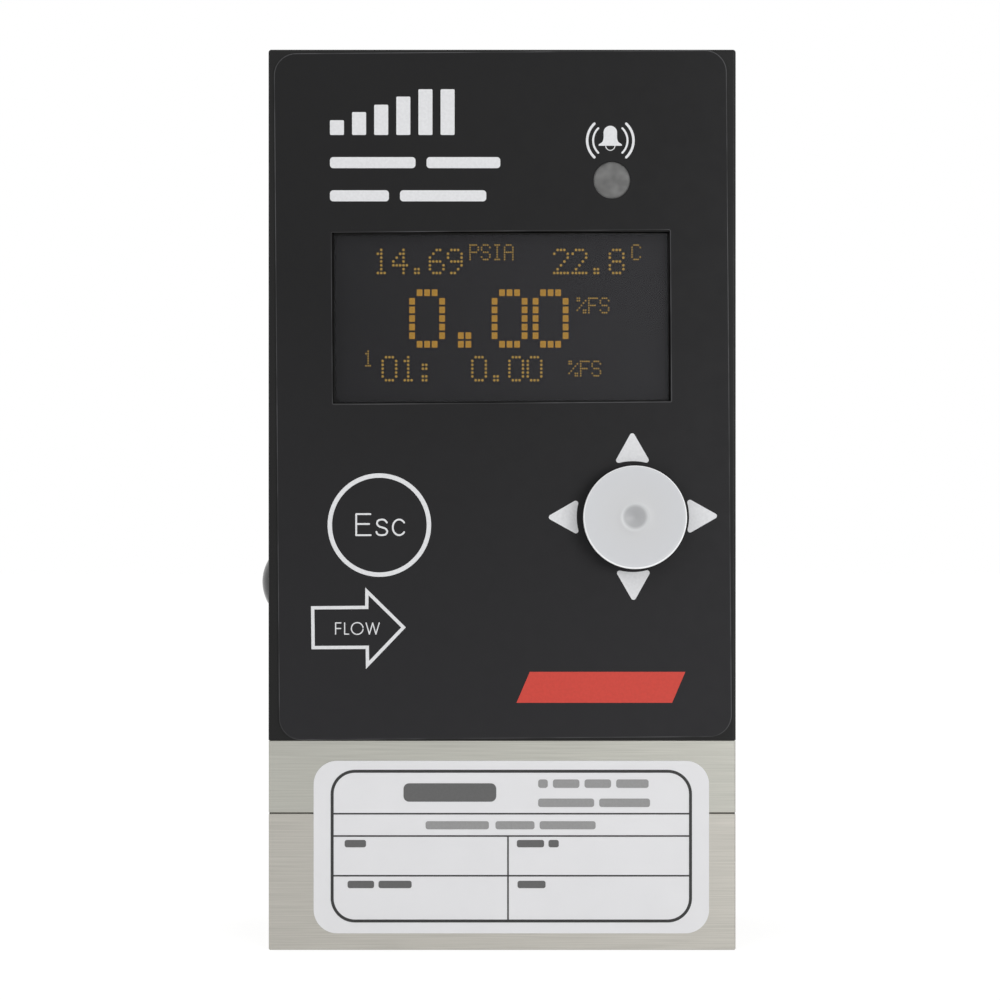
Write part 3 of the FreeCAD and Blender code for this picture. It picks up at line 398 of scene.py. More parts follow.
def add_piece(name, mesh, finish, body="meter_body", stands_for=(), own=None):
    """Shows a mesh as a piece that rides on a body, in its named finish or in one of its own."""
    mesh.materials.clear()
    mesh.materials.append(own or finishes[finish])
    piece = bpy.data.objects.new(name, mesh)
    bpy.context.scene.collection.objects.link(piece)
    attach(piece, body)
    if stands_for:
        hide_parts(*stands_for)


def millimetres(node):
    """Lowest corner, highest corner and middle of a CAD node."""
    low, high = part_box(node)
    return low / MM, high / MM, (low + high) / MM / 2


# Materials

def principled(name, base, roughness, **constants):
    """A principled material with its constant values set on the sockets."""
    made = bpy.data.materials.new(name)
    made.use_nodes = True
    shader = made.node_tree.nodes["Principled BSDF"]
    shader.inputs["Base Color"].default_value = (*base, 1)
    shader.inputs["Roughness"].default_value = roughness
    for socket, value in constants.items():
        shader.inputs[socket.replace("_", " ")].default_value = value
    return made


def feed(material, source, socket):
    """Joins a value to a socket of the material's shader."""
    shader = material.node_tree.nodes["Principled BSDF"]
    material.node_tree.links.new(source, shader.inputs[socket])


def object_place(material, stretch=(1, 1, 1)):
    """The place on the object in metres, stretched along its axes."""
    nodes = material.node_tree.nodes
    place = nodes.new("ShaderNodeTexCoord")
    mapping = nodes.new("ShaderNodeMapping")
    mapping.inputs["Scale"].default_value = stretch
    material.node_tree.links.new(place.outputs["Object"], mapping.inputs["Vector"])
    return mapping.outputs["Vector"]


def noise(material, size, detail=2.0, stretch=(1, 1, 1)):
    """Noise with features of about a size in millimetres."""
    texture = material.node_tree.nodes.new("ShaderNodeTexNoise")
    texture.inputs["Scale"].default_value = 1 / (size * MM)
    texture.inputs["Detail"].default_value = detail
    material.node_tree.links.new(object_place(material, stretch), texture.inputs["Vector"])
    return texture.outputs["Fac"]


def vector_step(material, operation, source, constant=(0, 0, 0)):
    """The outputs of one step of vector arithmetic with a constant."""
    step = material.node_tree.nodes.new("ShaderNodeVectorMath")
    step.operation = operation
    step.inputs[1].default_value = constant
    material.node_tree.links.new(source, step.inputs[0])
    return step.outputs


def distance_from(material, x, z):
    """Distance in millimetres from an axis along Y."""
    shift = vector_step(material, "SUBTRACT", object_place(material), (x * MM, 0, z * MM))
    flat = vector_step(material, "MULTIPLY", shift["Vector"], (1 / MM, 0, 1 / MM))
    return vector_step(material, "LENGTH", flat["Vector"])["Value"]


def map_range(material, source, low, high):
    """A step that maps a value from between low and high to between 0 and 1."""
    scaled = material.node_tree.nodes.new("ShaderNodeMapRange")
    scaled.inputs["From Min"].default_value = low
    scaled.inputs["From Max"].default_value = high
    material.node_tree.links.new(source, scaled.inputs["Value"])
    return scaled


def ramp(material, source, stops, low=0.0, high=1.0):
    """Colours along a value that runs from low to high."""
    scaled = map_range(material, source, low, high)
    colours = material.node_tree.nodes.new("ShaderNodeValToRGB")
    while len(colours.color_ramp.elements) < len(stops):
        colours.color_ramp.elements.new(0.5)
    for element, (place, colour) in zip(colours.color_ramp.elements, stops):
        element.position = place
        element.color = (*colour, 1)
    material.node_tree.links.new(scaled.outputs["Result"], colours.inputs["Fac"])
    return colours.outputs["Color"]


def shaded(colour, factor):
    """The colour, darker or lighter by a factor."""
    return tuple(channel * factor for channel in colour)


def vary_colour(material, source, colour, spread, low=noise_low, high=noise_high, socket="Base Color"):
    """The colour, a little darker and lighter along a noise."""
    stops = [(0, shaded(colour, 1 - spread)), (1, shaded(colour, 1 + spread))]
    feed(material, ramp(material, source, stops, low, high), socket)


def vary_roughness(material, source, smooth, rough):
    """Roughness between two values along a noise."""
    scaled = map_range(material, source, noise_low, noise_high)
    scaled.inputs["To Min"].default_value = smooth
    scaled.inputs["To Max"].default_value = rough
    feed(material, scaled.outputs["Result"], "Roughness")


def add_bump(material, source, height, strength=1.0):
    """Relief of a height in millimetres."""
    bump = material.node_tree.nodes.new("ShaderNodeBump")
    bump.inputs["Strength"].default_value = strength
    bump.inputs["Distance"].default_value = height * MM
    material.node_tree.links.new(source, bump.inputs["Height"])
    feed(material, bump.outputs["Normal"], "Normal")


def housing_black():
    """Black anodised metal, finely blasted."""
    base = (0.006, 0.006, 0.006)
    made = principled("housing_black", base, 0.45, Specular_IOR_Level=0.22)
    vary_colour(made, noise(made, 9.0, 3), base, 0.12)
    vary_roughness(made, noise(made, 3.0, 3), 0.4, 0.5)
    add_bump(made, noise(made, 0.12, 2), 0.012, 0.5)
    return made


def film_black():
    """Polyester film with a fine matte grain, and painted light that makes it a little greyer towards its
    foot, most at its lower right.
    """
    base = (0.0035, 0.0034, 0.0039)
    # Painted light: the greyer foot stands in for the lamp's light from low on the right
    foot = shaded(base, 3.6)
    made = principled("film_black", base, 0.5, Specular_IOR_Level=0.22)
    reach = distance_from(made, *film_painted_light_from)
    feed(made, ramp(made, reach, [(0.34, base), (1, foot)], 0, film_painted_light_reach), "Base Color")
    vary_roughness(made, noise(made, 2.0, 3), 0.46, 0.54)
    add_bump(made, noise(made, 0.1, 2), 0.006, 0.4)
    return made


def film_edge_painted_highlight():
    """Painted highlight along the film's cut edges, brighter in places."""
    base = (0.036, 0.036, 0.038)
    made = principled("film_edge_painted_highlight", base, 0.35, Specular_IOR_Level=0.3)
    vary_colour(made, noise(made, 9.0, 3), base, 0.6, 0.4, 0.6)
    vary_roughness(made, noise(made, 1.0, 2), 0.3, 0.4)
    return made


def painted_shade_black():
    """Matte black, for painted shade."""
    base = (0.008, 0.008, 0.008)
    made = principled("painted_shade_black", base, 0.7, Specular_IOR_Level=0.2)
    vary_colour(made, noise(made, 2.0, 2), base, 0.3)
    vary_roughness(made, noise(made, 0.5, 2), 0.65, 0.75)
    return made


def screen_print(name, base):
    """Screen print with a faint mesh mottle."""
    made = principled(name, base, 0.5, Specular_IOR_Level=0.3)
    vary_colour(made, noise(made, 0.35, 2), base, 0.04)
    vary_roughness(made, noise(made, 0.8, 2), 0.44, 0.56)
    add_bump(made, noise(made, 0.09, 2), 0.004, 0.4)
    return made


def label_white():
    """Satin label film."""
    base = (0.775, 0.775, 0.79)
    made = principled("label_white", base, 0.42, Specular_IOR_Level=0.35)
    vary_colour(made, noise(made, 6.0, 3), base, 0.012)
    vary_roughness(made, noise(made, 1.5, 2), 0.38, 0.46)
    add_bump(made, noise(made, 0.5, 3), 0.004, 0.3)
    return made


def lens_smoke():
    """Smoked acrylic, which lets part of the light through, with painted light that makes it a little
    paler towards its right.
    """
    base = (0.0195, 0.0195, 0.0215)
    # Painted light: the paler right stands in for the light that falls more on that side
    right = shaded(base, 1.75)
    low, high, middle = millimetres("display_lens")
    made = principled("lens_smoke", base, 0.4, Specular_IOR_Level=0.22, Alpha=0.6)
    reach = distance_from(made, low.x, middle.z)
    feed(made, ramp(made, reach, [(0, base), (1, right)], 0, high.x - low.x), "Base Color")
    vary_roughness(made, noise(made, 12.0, 1), 0.38, 0.42)
    return made


def panel_dark():
    """Dark glass of the display."""
    base = (0.014, 0.0135, 0.016)
    made = principled("panel_dark", base, 0.45, Specular_IOR_Level=0.2)
    vary_colour(made, noise(made, 10.0, 2), base, 0.15)
    vary_roughness(made, noise(made, 6.0, 2), 0.42, 0.5)
    return made


def lit_dots(name, glow):
    """Lit dots, a little uneven, too dim to light what is round them."""
    made = principled(name, glow, 0.4, Emission_Strength=2.8)
    made.cycles.emission_sampling = "NONE"
    vary_colour(made, noise(made, 0.5, 1), glow, 0.07, socket="Emission Color")
    return made


def lamp_frosted():
    """Frosted diffuser with a mottled face."""
    base = (0.145, 0.145, 0.143)
    made = principled("lamp_frosted", base, 0.4, Specular_IOR_Level=0.4)
    vary_colour(made, noise(made, 1.5, 1), base, 0.25)
    vary_roughness(made, noise(made, 0.3, 2), 0.3, 0.5)
    add_bump(made, noise(made, 0.25, 2), 0.02, 0.4)
    return made


def knob_white():
    """Satin translucent white, with painted shade in its dimple, a painted highlight on the halo round it
    and another along its rim.
    """
    middle = millimetres("joystick_knob")[2]
    made = principled("knob_white", (0.6, 0.61, 0.63), 0.35, Specular_IOR_Level=0.4)
    # Painted shade in the dimple, painted highlights on the halo and along the rim
    stops = [(0, (0.39, 0.395, 0.405)), (0.19, (0.41, 0.415, 0.425)), (0.25, (0.62, 0.63, 0.64)),
             (0.3, (0.6, 0.605, 0.615)), (0.9, (0.61, 0.62, 0.64)), (0.965, (0.63, 0.64, 0.66)),
             (0.975, (0.95, 0.96, 0.97))]
    reach = distance_from(made, middle.x, middle.z)
    feed(made, ramp(made, reach, stops, 0, knob_painted_light_reach), "Base Color")
    vary_roughness(made, noise(made, 0.8, 2), 0.3, 0.4)
    add_bump(made, noise(made, 0.15, 2), 0.004, 0.3)
    return made


def moulded(name, base, roughness, grain):
    """Moulded plastic or rubber with a fine grain."""
    made = principled(name, base, roughness, Specular_IOR_Level=0.4)
    vary_colour(made, noise(made, 4.0, 2), base, 0.1)
    vary_roughness(made, noise(made, 1.0, 2), roughness - 0.05, roughness + 0.05)
    add_bump(made, noise(made, 0.15, 2), grain, 0.5)
    return made


def steel_brushed(name, base):
    """Stainless steel, brushed along the ground."""
    made = principled(name, base, 0.36, Metallic=1.0)
    lines = noise(made, 0.16, 4, (0.012, 0.012, 1))
    vary_colour(made, lines, base, 0.1)
    vary_roughness(made, noise(made, 0.3, 3, (0.02, 0.02, 1)), 0.3, 0.44)
    add_bump(made, lines, 0.006, 0.5)
    return made


def metal(name, base, roughness, scratch):
    """Machined or plated metal with soft tool marks."""
    made = principled(name, base, roughness, Metallic=0.9)
    vary_colour(made, noise(made, 1.5, 2), base, 0.06)
    vary_roughness(made, noise(made, 0.8, 2), roughness - 0.05, roughness + 0.05)
    add_bump(made, noise(made, 0.6, 2, (1, 0.3, 0.3)), scratch, 0.3)
    return made


def board_green():
    """Green solder mask over faint copper tracks."""
    base = (0.02, 0.13, 0.05)
    made = principled("board_green", base, 0.3, Specular_IOR_Level=0.5)
    tracks = noise(made, 1.6, 1, (1, 1, 0.15))
    vary_colour(made, tracks, base, 0.25, 0.45, 0.55)
    vary_roughness(made, noise(made, 0.6, 2), 0.25, 0.35)
    add_bump(made, tracks, 0.02, 0.3)
    return made


finishes = {
    "housing_black": housing_black(),
    "film_black": film_black(),
    "print_white": screen_print("print_white", (0.73, 0.735, 0.75)),
    "print_red": screen_print("print_red", (0.59, 0.056, 0.039)),
    "label_white": label_white(),
    "label_ink": screen_print("label_ink", (0.034, 0.034, 0.034)),
    "lens_smoke": lens_smoke(),
    "panel_dark": panel_dark(),
    "figures_amber": lit_dots("figures_amber", (0.66, 0.345, 0.03)),
    "lamp_frosted": lamp_frosted(),
    "knob_white": knob_white(),
    "plastic_black": moulded("plastic_black", (0.02, 0.02, 0.02), 0.45, 0.015),
    "plug_black": moulded("plug_black", (0.02, 0.02, 0.02), 0.22, 0.004),
    "rubber_black": moulded("rubber_black", (0.03, 0.03, 0.03), 0.7, 0.02),
    "steel_brushed": steel_brushed("steel_brushed", (0.42, 0.417, 0.378)),
    "screw_steel": metal("screw_steel", (0.5, 0.5, 0.5), 0.36, 0.004),
    "connector_steel": metal("connector_steel", (0.56, 0.55, 0.53), 0.36, 0.004),
    "brass": metal("brass", (0.7, 0.52, 0.25), 0.32, 0.004),
    "board_green": board_green(),
}

# Finishes of single pieces, in the place of their slot's own
# Painted highlight for the film's cut edges
film_edge_highlight_finish = film_edge_painted_highlight()
# Painted shade: matte black for the band in the window and the strip in the joint
painted_shade_matte = painted_shade_black()
label_grey = screen_print("label_grey", (0.3, 0.3, 0.3))
word_grey = screen_print("word_grey", (0.12, 0.12, 0.12))
figures_pale = lit_dots("figures_pale", (0.57, 0.35, 0.06))
# Painted light: a lighter, warmer copy of the brushed steel for the lower block, standing in for the
# light that falls more on it
steel_painted_light = steel_brushed("steel_painted_light", (0.445, 0.43, 0.392))


def dress_nodes():
    """Gives each CAD node the finish that the record names for it, then the flow body a lighter, warmer
    copy of its steel, painted light.
    """
    for part in frame["record"]["subparts"]:
        mesh = frame["nodes"][part["node"]].data
        mesh.materials.clear()
        mesh.materials.append(finishes[part["material_slot"]])
    frame["nodes"]["flow_body"].data.materials[0] = steel_painted_light


# Flow body

def joint_painted_shade():
    """Painted shade: a dark strip at the root of the groove between the two blocks."""
    low, high, _ = millimetres("manifold_block")
    mesh = bmesh.new()
    rings = []
    for inward, up in ((joint_depth, -joint_height), (joint_depth, joint_height),
                       (joint_depth + joint_height, 0)):
        corners = [(low.x + inward, low.y + inward), (high.x - inward, low.y + inward),
                   (high.x - inward, high.y - inward), (low.x + inward, high.y - inward)]
        rings.append([mesh.verts.new(metres(x, y, low.z + up)) for x, y in corners])
    join_rings(mesh, rings + rings[:1])
    add_piece("joint_painted_shade", close_mesh(mesh, "joint_painted_shade"), "rubber_black", own=painted_shade_matte)


# Front film and its print

film_low, film_high, film_middle = millimetres("front_overlay")
film_front = film_low.y
print_front = film_front - ink


def askew(points, middle):
    """Points turned about a middle by the film's skew."""
    turn = math.radians(film_skew)
    return [(middle.x + (x - middle.x) * math.cos(turn) - (z - middle.z) * math.sin(turn),
             middle.z + (x - middle.x) * math.sin(turn) + (z - middle.z) * math.cos(turn))
            for x, z in points]


def film_outline(grow):
    """Round-cornered outline of the film, grown outwards."""
    return askew(rounded_box(film_middle.x, film_middle.z, film_high.x - film_low.x + 2 * grow,
                             film_high.z - film_low.z + 2 * grow, film_corner + grow, 16), film_middle)


def opening_outline(grow, radii):
    """Outline of the opening for the lens, grown outwards."""
    low, high, middle = millimetres("display_lens")
    return rounded_corners(middle, high.x - low.x - 2 * lens_step + 2 * grow,
                           high.z - low.z - 2 * lens_step + 2 * grow, radii)


def window_outline(grow):
    """Outline of the film's window, grown outwards."""
    return askew(opening_outline(grow, [window_corner + max(grow, 0)] * 4),
                 millimetres("display_lens")[2])


def film():
    """The film with its openings, and painted highlights along its cut edges."""
    lamp = millimetres("alarm_lamp")[2]
    knob = millimetres("joystick_knob")[2]
    holes = [window_outline(film_edge_line), circle(lamp.x, lamp.z, lamp_opening + lamp_film_gap),
             circle(knob.x, knob.z, joystick_opening)]
    mesh = filled_plate("film", film_outline(-film_edge_line), holes, film_front, film_high.y)
    add_piece("film", mesh, "film_black", stands_for=["front_overlay"])
    edges = bmesh.new()
    for outline, outer, inner in ((film_outline, 0, -film_edge_line),
                                  (window_outline, film_edge_line, 0)):
        add_band(edges, outline(outer), outline(inner), film_front, film_high.y)
    add_piece("film_edge", close_mesh(edges, "film_edge"), "film_black", own=film_edge_highlight_finish)


def window_painted_shade():
    """Painted shade: a thin black band on the lens, just inside the window, with more of it in one
    corner.
    """
    low, _, middle = millimetres("display_lens")
    outer = opening_outline(-opening_play, [window_corner] * 4)
    inner = opening_outline(-opening_play - painted_shade_line,
                            [window_corner, window_corner, painted_shade_corner, window_corner])
    mesh = bmesh.new()
    add_band(mesh, outer, askew(inner, middle), low.y - painted_shade_thickness, low.y)
    add_piece("window_painted_shade", close_mesh(mesh, "window_painted_shade"), "rubber_black", own=painted_shade_matte)


def alarm_lamp():
    """Frosted lamp that fills its opening, with a rim behind the wall and two wires."""
    low, high, middle = millimetres("alarm_lamp")
    radius = lamp_opening - lamp_play
    back = low.y + lamp_length
    face = radius - lamp_ring
    rim_front = back - lamp_rim
    steps = 8
    profile = [(face * i / steps, low.y + lamp_dome * (i / steps) ** 2) for i in range(steps + 1)]
    profile += [(face + lamp_groove_width / 2, low.y + lamp_dome + lamp_groove),
                (face + lamp_groove_width, low.y + lamp_dome),
                (radius - lamp_edge, low.y + lamp_dome), (radius, low.y + lamp_dome + lamp_edge),
                (radius, rim_front), (lamp_rim_radius, rim_front), (lamp_rim_radius, back), (0, back)]
    mesh = bmesh.new()
    add_turned(mesh, profile, (middle.x, middle.z), 64)
    for side in (-1, 1):
        wire = rounded_box(middle.x + side * lamp_wire_spacing / 2, middle.z, lamp_wire, lamp_wire,
                           lamp_wire_corner, 3)
        add_slab(mesh, wire, back, high.y)
    add_piece("lamp", close_mesh(mesh, "lamp", 40), "lamp_frosted", stands_for=["alarm_lamp"])


def bell_outline():
    """Outline of the bell: its right side, mirrored to the left."""
    crown = arc(0, bell_crown_up, bell_crown_radius, 90, 0, 8)[:-1]
    right = crown + smooth_path(bell_side)
    left = [(-x, z) for x, z in right[::-1][:-1]]
    return [(bell_x + x, bell_z + z) for x, z in right + left]


def alarm_symbol(mesh):
    """Bell with its clapper, between pairs of sound arcs, over the lamp."""
    add_slab(mesh, bell_outline(), print_front, film_front)
    clapper = arc(bell_x, bell_z - clapper_down, clapper_radius, -180, 0, 12)
    add_slab(mesh, stroke(clapper, clapper_line), print_front + layer_step, film_front)
    for radius, line, spread in bell_arcs:
        for facing in (0, 180):
            path = arc(bell_x, bell_z - bell_arcs_down, radius, facing - spread, facing + spread, 24)
            add_slab(mesh, stroke(path, line), print_front, film_front)


def title_marks(mesh):
    """Plain bars in the title's place: a rising row over two broken lines."""
    foot = title_top - title_bar_heights[-1]
    for i, height in enumerate(title_bar_heights):
        x = title_x + title_bar_width / 2 + i * (title_bar_width + title_bar_gap)
        bar = rounded_box(x, foot + height / 2, title_bar_width, height, title_bar_corner, 4)
        add_slab(mesh, bar, print_front, film_front)
    for row, words in enumerate(title_words):
        x = title_x
        z = foot - (row + 1) * title_line_pitch + title_line_height / 2
        for length in words:
            bar = rounded_box(x + length / 2, z, length, title_line_height, title_line_corner)
            add_slab(mesh, bar, print_front, film_front)
            x += length + title_word_gap


def film_print():
    """All the white print on the film apart from the words and arrowheads."""
    escape = millimetres("escape_plunger")[2]
    mesh = bmesh.new()
    add_band(mesh, circle(escape.x, escape.z, escape_ring_radius),
             circle(escape.x, escape.z, escape_ring_radius - escape_ring_line), print_front, film_front)
    add_band(mesh, flow_outline, inset(flow_outline, flow_line), print_front, film_front)
    alarm_symbol(mesh)
    title_marks(mesh)
    add_piece("film_print", close_mesh(mesh, "film_print"), "print_white", stands_for=["overlay_print"])


def arrowheads():
    """The four arrowheads, as the skewed film carries them."""
    middle = millimetres("joystick_knob")[2]
    mesh = frame["nodes"]["direction_arrows"].data.copy()
    for vertex in mesh.vertices:
        x = vertex.co.x / MM
        z = vertex.co.z / MM
        if abs(z - middle.z) > abs(x - middle.x):
            z -= math.copysign(arrows_inward, z - middle.z)
        x, z = askew([(x, z)], middle)[0]
        vertex.co.x = (x - arrows_left) * MM
        vertex.co.z = z * MM
    add_piece("arrowheads", mesh, "print_white", stands_for=["direction_arrows"])


def stem_letter(left, arms, foot, top):
    """Strokes of a letter with arms, each given as its share of the height and its right end."""
    strokes = [[(left, foot), (left, top)]]
    for share, right in arms:
        z = foot + (top - foot) * share
        strokes.append([(left, z), (right, z)])
    return strokes


def escape_word():
    """The three letters in the ring."""
    escape = millimetres("escape_plunger")[2]
    half = escape_line / 2
    foot = escape_foot + half
    cap = escape_foot + escape_cap_height - half
    small = escape_foot + escape_small_height - half
    centre = (foot + small) / 2
    rise = (small - foot) / 2
    strokes = stem_letter(*escape_e, foot, cap)
    strokes.append(smooth_path([(x, centre + rise * share) for x, share in escape_s]))
    strokes.append([(escape_c_middle + escape_c_half_width * x, centre + rise * share)
                    for x, share in arc(0, 0, 1, escape_c_gap, 360 - escape_c_gap, 28)])
    mesh = bmesh.new()
    paths = [[(escape.x + x, escape.z + z) for x, z in path] for path in strokes]
    add_strokes(mesh, paths, escape_line, print_front, film_front)
    add_piece("escape_word", close_mesh(mesh, "escape_word"), "print_white")


def flow_word():
    """The four letters in the arrow."""
    half = flow_word_line / 2
    foot = flow_word_foot + half
    top = flow_word_foot + flow_word_height - half
    radius = (top - foot) / 2 * flow_o_swell
    strokes = stem_letter(*flow_f, foot, top) + stem_letter(*flow_l, foot, top)
    strokes.append(arc(flow_o_middle, (foot + top) / 2, radius, 0, 360, 32))
    zigzag = [(x, foot + (top - foot) * share) for x, share in flow_w]
    strokes += [[a, b] for a, b in zip(zigzag, zigzag[1:])]
    mesh = bmesh.new()
    add_strokes(mesh, strokes, flow_word_line, print_front, film_front)
    add_piece("flow_word", close_mesh(mesh, "flow_word"), "print_white")


# Display

def islands(node):
    """Lowest and highest corner of each separate solid of a CAD node."""
    mesh = bmesh.new()
    mesh.from_mesh(frame["nodes"][node].data)
    bmesh.ops.remove_doubles(mesh, verts=mesh.verts, dist=1e-7)
    left = set(mesh.verts)
    boxes = []
    while left:
        found = [left.pop()]
        for vertex in found:
            for edge in vertex.link_edges:
                other = edge.other_vert(vertex)
                if other in left:
                    left.remove(other)
                    found.append(other)
        boxes.append([Vector([pick(vertex.co[axis] for vertex in found) for axis in range(3)]) / MM
                      for pick in (min, max)])
    mesh.free()
    return boxes


def display_dots():
    """The lit dots of the figures: squares in the large row, round beads in the small ones."""
    squares = bmesh.new()
    beads = bmesh.new()
    for low, high in islands("display_figures"):
        middle = (low + high) / 2
        width = high.x - low.x
        height = high.z - low.z
        if width > bead_limit:
            outline = rounded_box(middle.x, middle.z, width - square_trim, height - square_trim,
                                  square_corner, 3)
            add_slab(squares, outline, low.y, high.y)
        else:
            add_slab(beads, circle(middle.x, middle.z, bead_radius, 14), low.y, high.y)
    add_piece("display_squares", close_mesh(squares, "display_squares"), "figures_amber",
              stands_for=["display_figures"])
    add_piece("display_beads", close_mesh(beads, "display_beads"), "figures_amber",
              stands_for=["display_figures"], own=figures_pale)


def display_units():
    """Small unit marks beside the figures, as dots on the panel."""
    low = millimetres("display_figures")[0]
    panel_front = millimetres("display_panel")[0].y
    mesh = bmesh.new()
    for word, left, top in unit_words:
        for place, letter in enumerate(word):
            for row, pattern in enumerate(unit_figures[letter]):
                for column, mark in enumerate(pattern):
                    if mark == "o":
                        x = left + place * unit_pitch_letter + column * unit_pitch_x
                        z = top - row * unit_pitch_z
                        add_slab(mesh, circle(x, z, unit_dot / 2, 10), low.y, panel_front)
    add_piece("display_units", close_mesh(mesh, "display_units"), "figures_amber", own=figures_pale)


# Joystick knob

def knob():
    """Round dished cap with a soft lip round its dimple, which hangs a hair low on its stem."""
    low, high, middle = millimetres("joystick_knob")
    radius = (high.x - low.x) / 2
    cap_back = low.y + knob_thickness
    dish_radius = radius - knob_edge
    steps = 12
    lip_steps = 8

    def dish(r):
        """Depth of the dish at a distance from the axis."""
        return low.y + knob_dish * (1 - (r / dish_radius) ** 2)

    profile = [(0, dish(0) + knob_dimple)]
    for i in range(1, steps + 1):
        r = knob_dimple_radius * i / steps
        profile.append((r, dish(r) + knob_dimple * (0.5 + 0.5 * math.cos(math.pi * i / steps))))
    for i in range(1, lip_steps):
        r = knob_dimple_radius + (knob_lip_radius - knob_dimple_radius) * 2 * i / lip_steps
        profile.append((r, dish(r) - knob_lip * math.sin(math.pi * i / lip_steps)))
    for i in range(5, steps + 1):
        r = dish_radius * i / steps
        profile.append((r, dish(r)))
    profile += [(dish_radius + x, low.y + knob_edge - z)
                for x, z in arc(0, 0, knob_edge, 90, 0, 8)[1:]]
    profile += [(radius - knob_back_edge + x, cap_back - knob_back_edge - z)
                for x, z in arc(0, 0, knob_back_edge, 0, -90, 5)]
    profile += [(knob_collar_radius, cap_back), (knob_collar_radius, high.y),
                (knob_bore_radius, high.y), (knob_bore_radius, cap_back), (0, cap_back)]
    mesh = bmesh.new()
    add_turned(mesh, profile, (middle.x, middle.z - knob_sag), 128)
    add_piece("knob", close_mesh(mesh, "knob", 40), "knob_white", "stick", ["joystick_knob"])


# Rating label

def label_words():
    """Plain bars where the label's words stood."""
    paper = millimetres("rating_label")[0].y
    for name, bars, tint in (("label_words_dark", label_dark_bars, word_grey),
                             ("label_words_grey", label_grey_bars, label_grey)):
        mesh = bmesh.new()
        for left, middle, length, height in bars:
            bar = rounded_box(left + length / 2, middle, length, height, height * label_bar_corner)
            add_slab(mesh, bar, paper - ink, paper)
        add_piece(name, close_mesh(mesh, name), "label_ink", own=tint)


# Ports and connector

def port_threads():
    """Helical thread ridge inside each port, which fades out over its first and last turn."""
    low, high, middle = millimetres("flow_body")
    last = thread_steps * thread_turns
    for name, mouth, inward in (("inlet_thread", low.x, 1), ("outlet_thread", high.x, -1)):
        mesh = bmesh.new()
        ridge = []
        for i in range(last + 1):
            turn = 2 * math.pi * i / thread_steps
            fade = min(1, i / thread_steps, (last - i) / thread_steps)
            along = thread_start + thread_pitch * i / thread_steps
            section = []
            for offset, height in thread_section:
                x = mouth + inward * (along + offset * thread_pitch)
                r = port_radius - thread_height * fade * height
                y = r * math.cos(turn)
                z = middle.z + r * math.sin(turn)
                section.append(mesh.verts.new(metres(x, y, z)))
            ridge.append(section)
        join_rings(mesh, ridge)
        add_piece(name, close_mesh(mesh, name, 60), "steel_brushed")


def connector_contacts():
    """Nine brass sleeves in the holes of the connector."""
    _, high, middle = millimetres("connector_core")
    mesh = bmesh.new()
    mouth = high.y - contact_recess
    end = mouth - contact_length
    profile = [(contact_bore, mouth), (contact_radius, mouth), (contact_radius, end), (contact_bore, end)]
    for count, side in ((5, 1), (4, -1)):
        for i in range(count):
            x = (i - (count - 1) / 2) * contact_pitch
            add_turned(mesh, profile, (x, middle.z + side * contact_row_gap / 2), 24)
    add_piece("connector_contacts", close_mesh(mesh, "connector_contacts", 40), "brass")


# Floor, light and camera

def floor():
    """Pale floor that shows white with a soft shadow."""
    mesh = bmesh.new()
    for x, y in ((-1, -1), (1, -1), (1, 1), (-1, 1)):
        mesh.verts.new(metres(x * floor_half, y * floor_half, -floor_drop))
    mesh.faces.new(mesh.verts)
    made = bpy.data.meshes.new("floor")
    mesh.to_mesh(made)
    mesh.free()
    piece = bpy.data.objects.new("floor", made)
    bpy.context.scene.collection.objects.link(piece)
    piece.data.materials.append(floor_paint())


def seen_directly(nodes, links):
    """1 for the rays that should meet a white background, else 0."""
    path = nodes.new("ShaderNodeLightPath")
    seen = path.outputs["Is Camera Ray"]
    for kind in ("Is Glossy Ray", "Is Transmission Ray"):
        either = nodes.new("ShaderNodeMath")
        either.operation = "MAXIMUM"
        links.new(seen, either.inputs[0])
        links.new(path.outputs[kind], either.inputs[1])
        seen = either.outputs["Value"]
    return seen


def matte(nodes, grey):
    """A plain matte shader."""
    paint = nodes.new("ShaderNodeBsdfDiffuse")
    paint.inputs["Color"].default_value = (grey, grey, grey, 1)
    return paint.outputs["BSDF"]


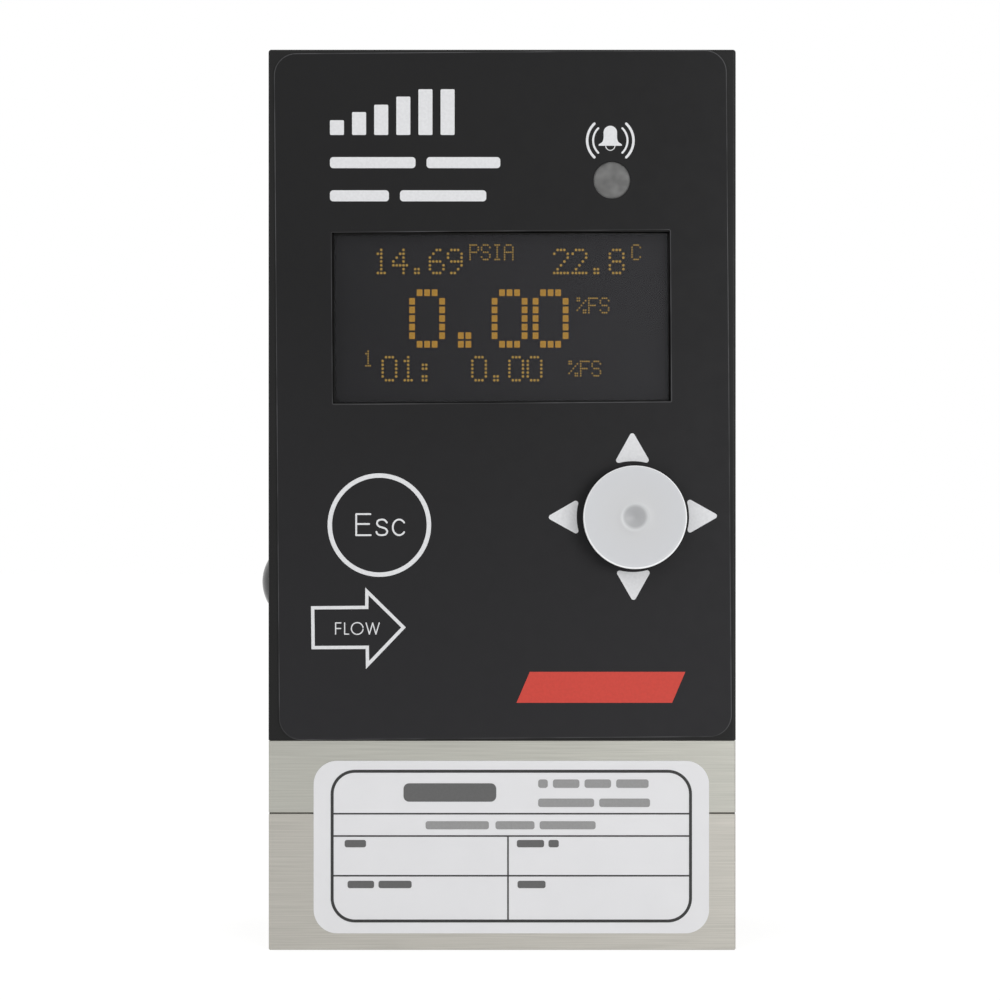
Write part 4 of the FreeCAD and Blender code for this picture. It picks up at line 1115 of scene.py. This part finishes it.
def floor_paint():
    """Matte grey as light, and near white with soft shadows where it is seen."""
    made = bpy.data.materials.new("floor_paint")
    made.use_nodes = True
    nodes = made.node_tree.nodes
    links = made.node_tree.links
    nodes.clear()
    glow = nodes.new("ShaderNodeEmission")
    glow.inputs["Strength"].default_value = floor_glow
    shown = nodes.new("ShaderNodeAddShader")
    links.new(matte(nodes, floor_seen_grey), shown.inputs[0])
    links.new(glow.outputs["Emission"], shown.inputs[1])
    choice = nodes.new("ShaderNodeMixShader")
    links.new(seen_directly(nodes, links), choice.inputs["Fac"])
    links.new(matte(nodes, floor_grey), choice.inputs[1])
    links.new(shown.outputs["Shader"], choice.inputs[2])
    output = nodes.new("ShaderNodeOutputMaterial")
    links.new(choice.outputs["Shader"], output.inputs["Surface"])
    return made


def sky():
    """White where it is seen, a little dimmer as light."""
    world = bpy.data.worlds.new("studio")
    world.use_nodes = True
    nodes = world.node_tree.nodes
    links = world.node_tree.links
    shell = nodes["Background"]
    shell.inputs["Color"].default_value = (1, 1, 1, 1)
    strength = nodes.new("ShaderNodeMapRange")
    strength.inputs["To Min"].default_value = sky_light
    strength.inputs["To Max"].default_value = 1
    links.new(seen_directly(nodes, links), strength.inputs["Value"])
    links.new(strength.outputs["Result"], shell.inputs["Strength"])
    bpy.context.scene.world = world


def soft_lamp(name, place, target, size, power):
    """Square lamp that faces its target."""
    lamp = bpy.data.lights.new(name, "AREA")
    lamp.shape = "SQUARE"
    lamp.size = size
    lamp.energy = power
    piece = bpy.data.objects.new(name, lamp)
    piece.location = place
    piece.rotation_euler = (Vector(target) - Vector(place)).to_track_quat("-Z", "Y").to_euler()
    bpy.context.scene.collection.objects.link(piece)


def camera():
    """Level camera at the photograph's distance, centred between its edges."""
    lens = bpy.data.cameras.new("camera")
    lens.sensor_width = sensor_width
    lens.lens = sensor_width * camera_distance / view_width
    lens.clip_start = 0.01
    lens.clip_end = 10
    piece = bpy.data.objects.new("camera", lens)
    front = millimetres("housing")[0].y
    piece.location = metres(camera_x, front - camera_distance, camera_z)
    piece.rotation_euler = (math.radians(90), 0, 0)
    bpy.context.scene.collection.objects.link(piece)
    bpy.context.scene.camera = piece


dress_nodes()
joint_painted_shade()
film()
window_painted_shade()
alarm_lamp()
film_print()
arrowheads()
escape_word()
flow_word()
display_dots()
display_units()
knob()
label_words()
port_threads()
connector_contacts()
floor()
sky()
for name, setting in lamps.items():
    soft_lamp(name, *setting)
camera()
bpy.context.scene.view_settings.view_transform = "Standard"
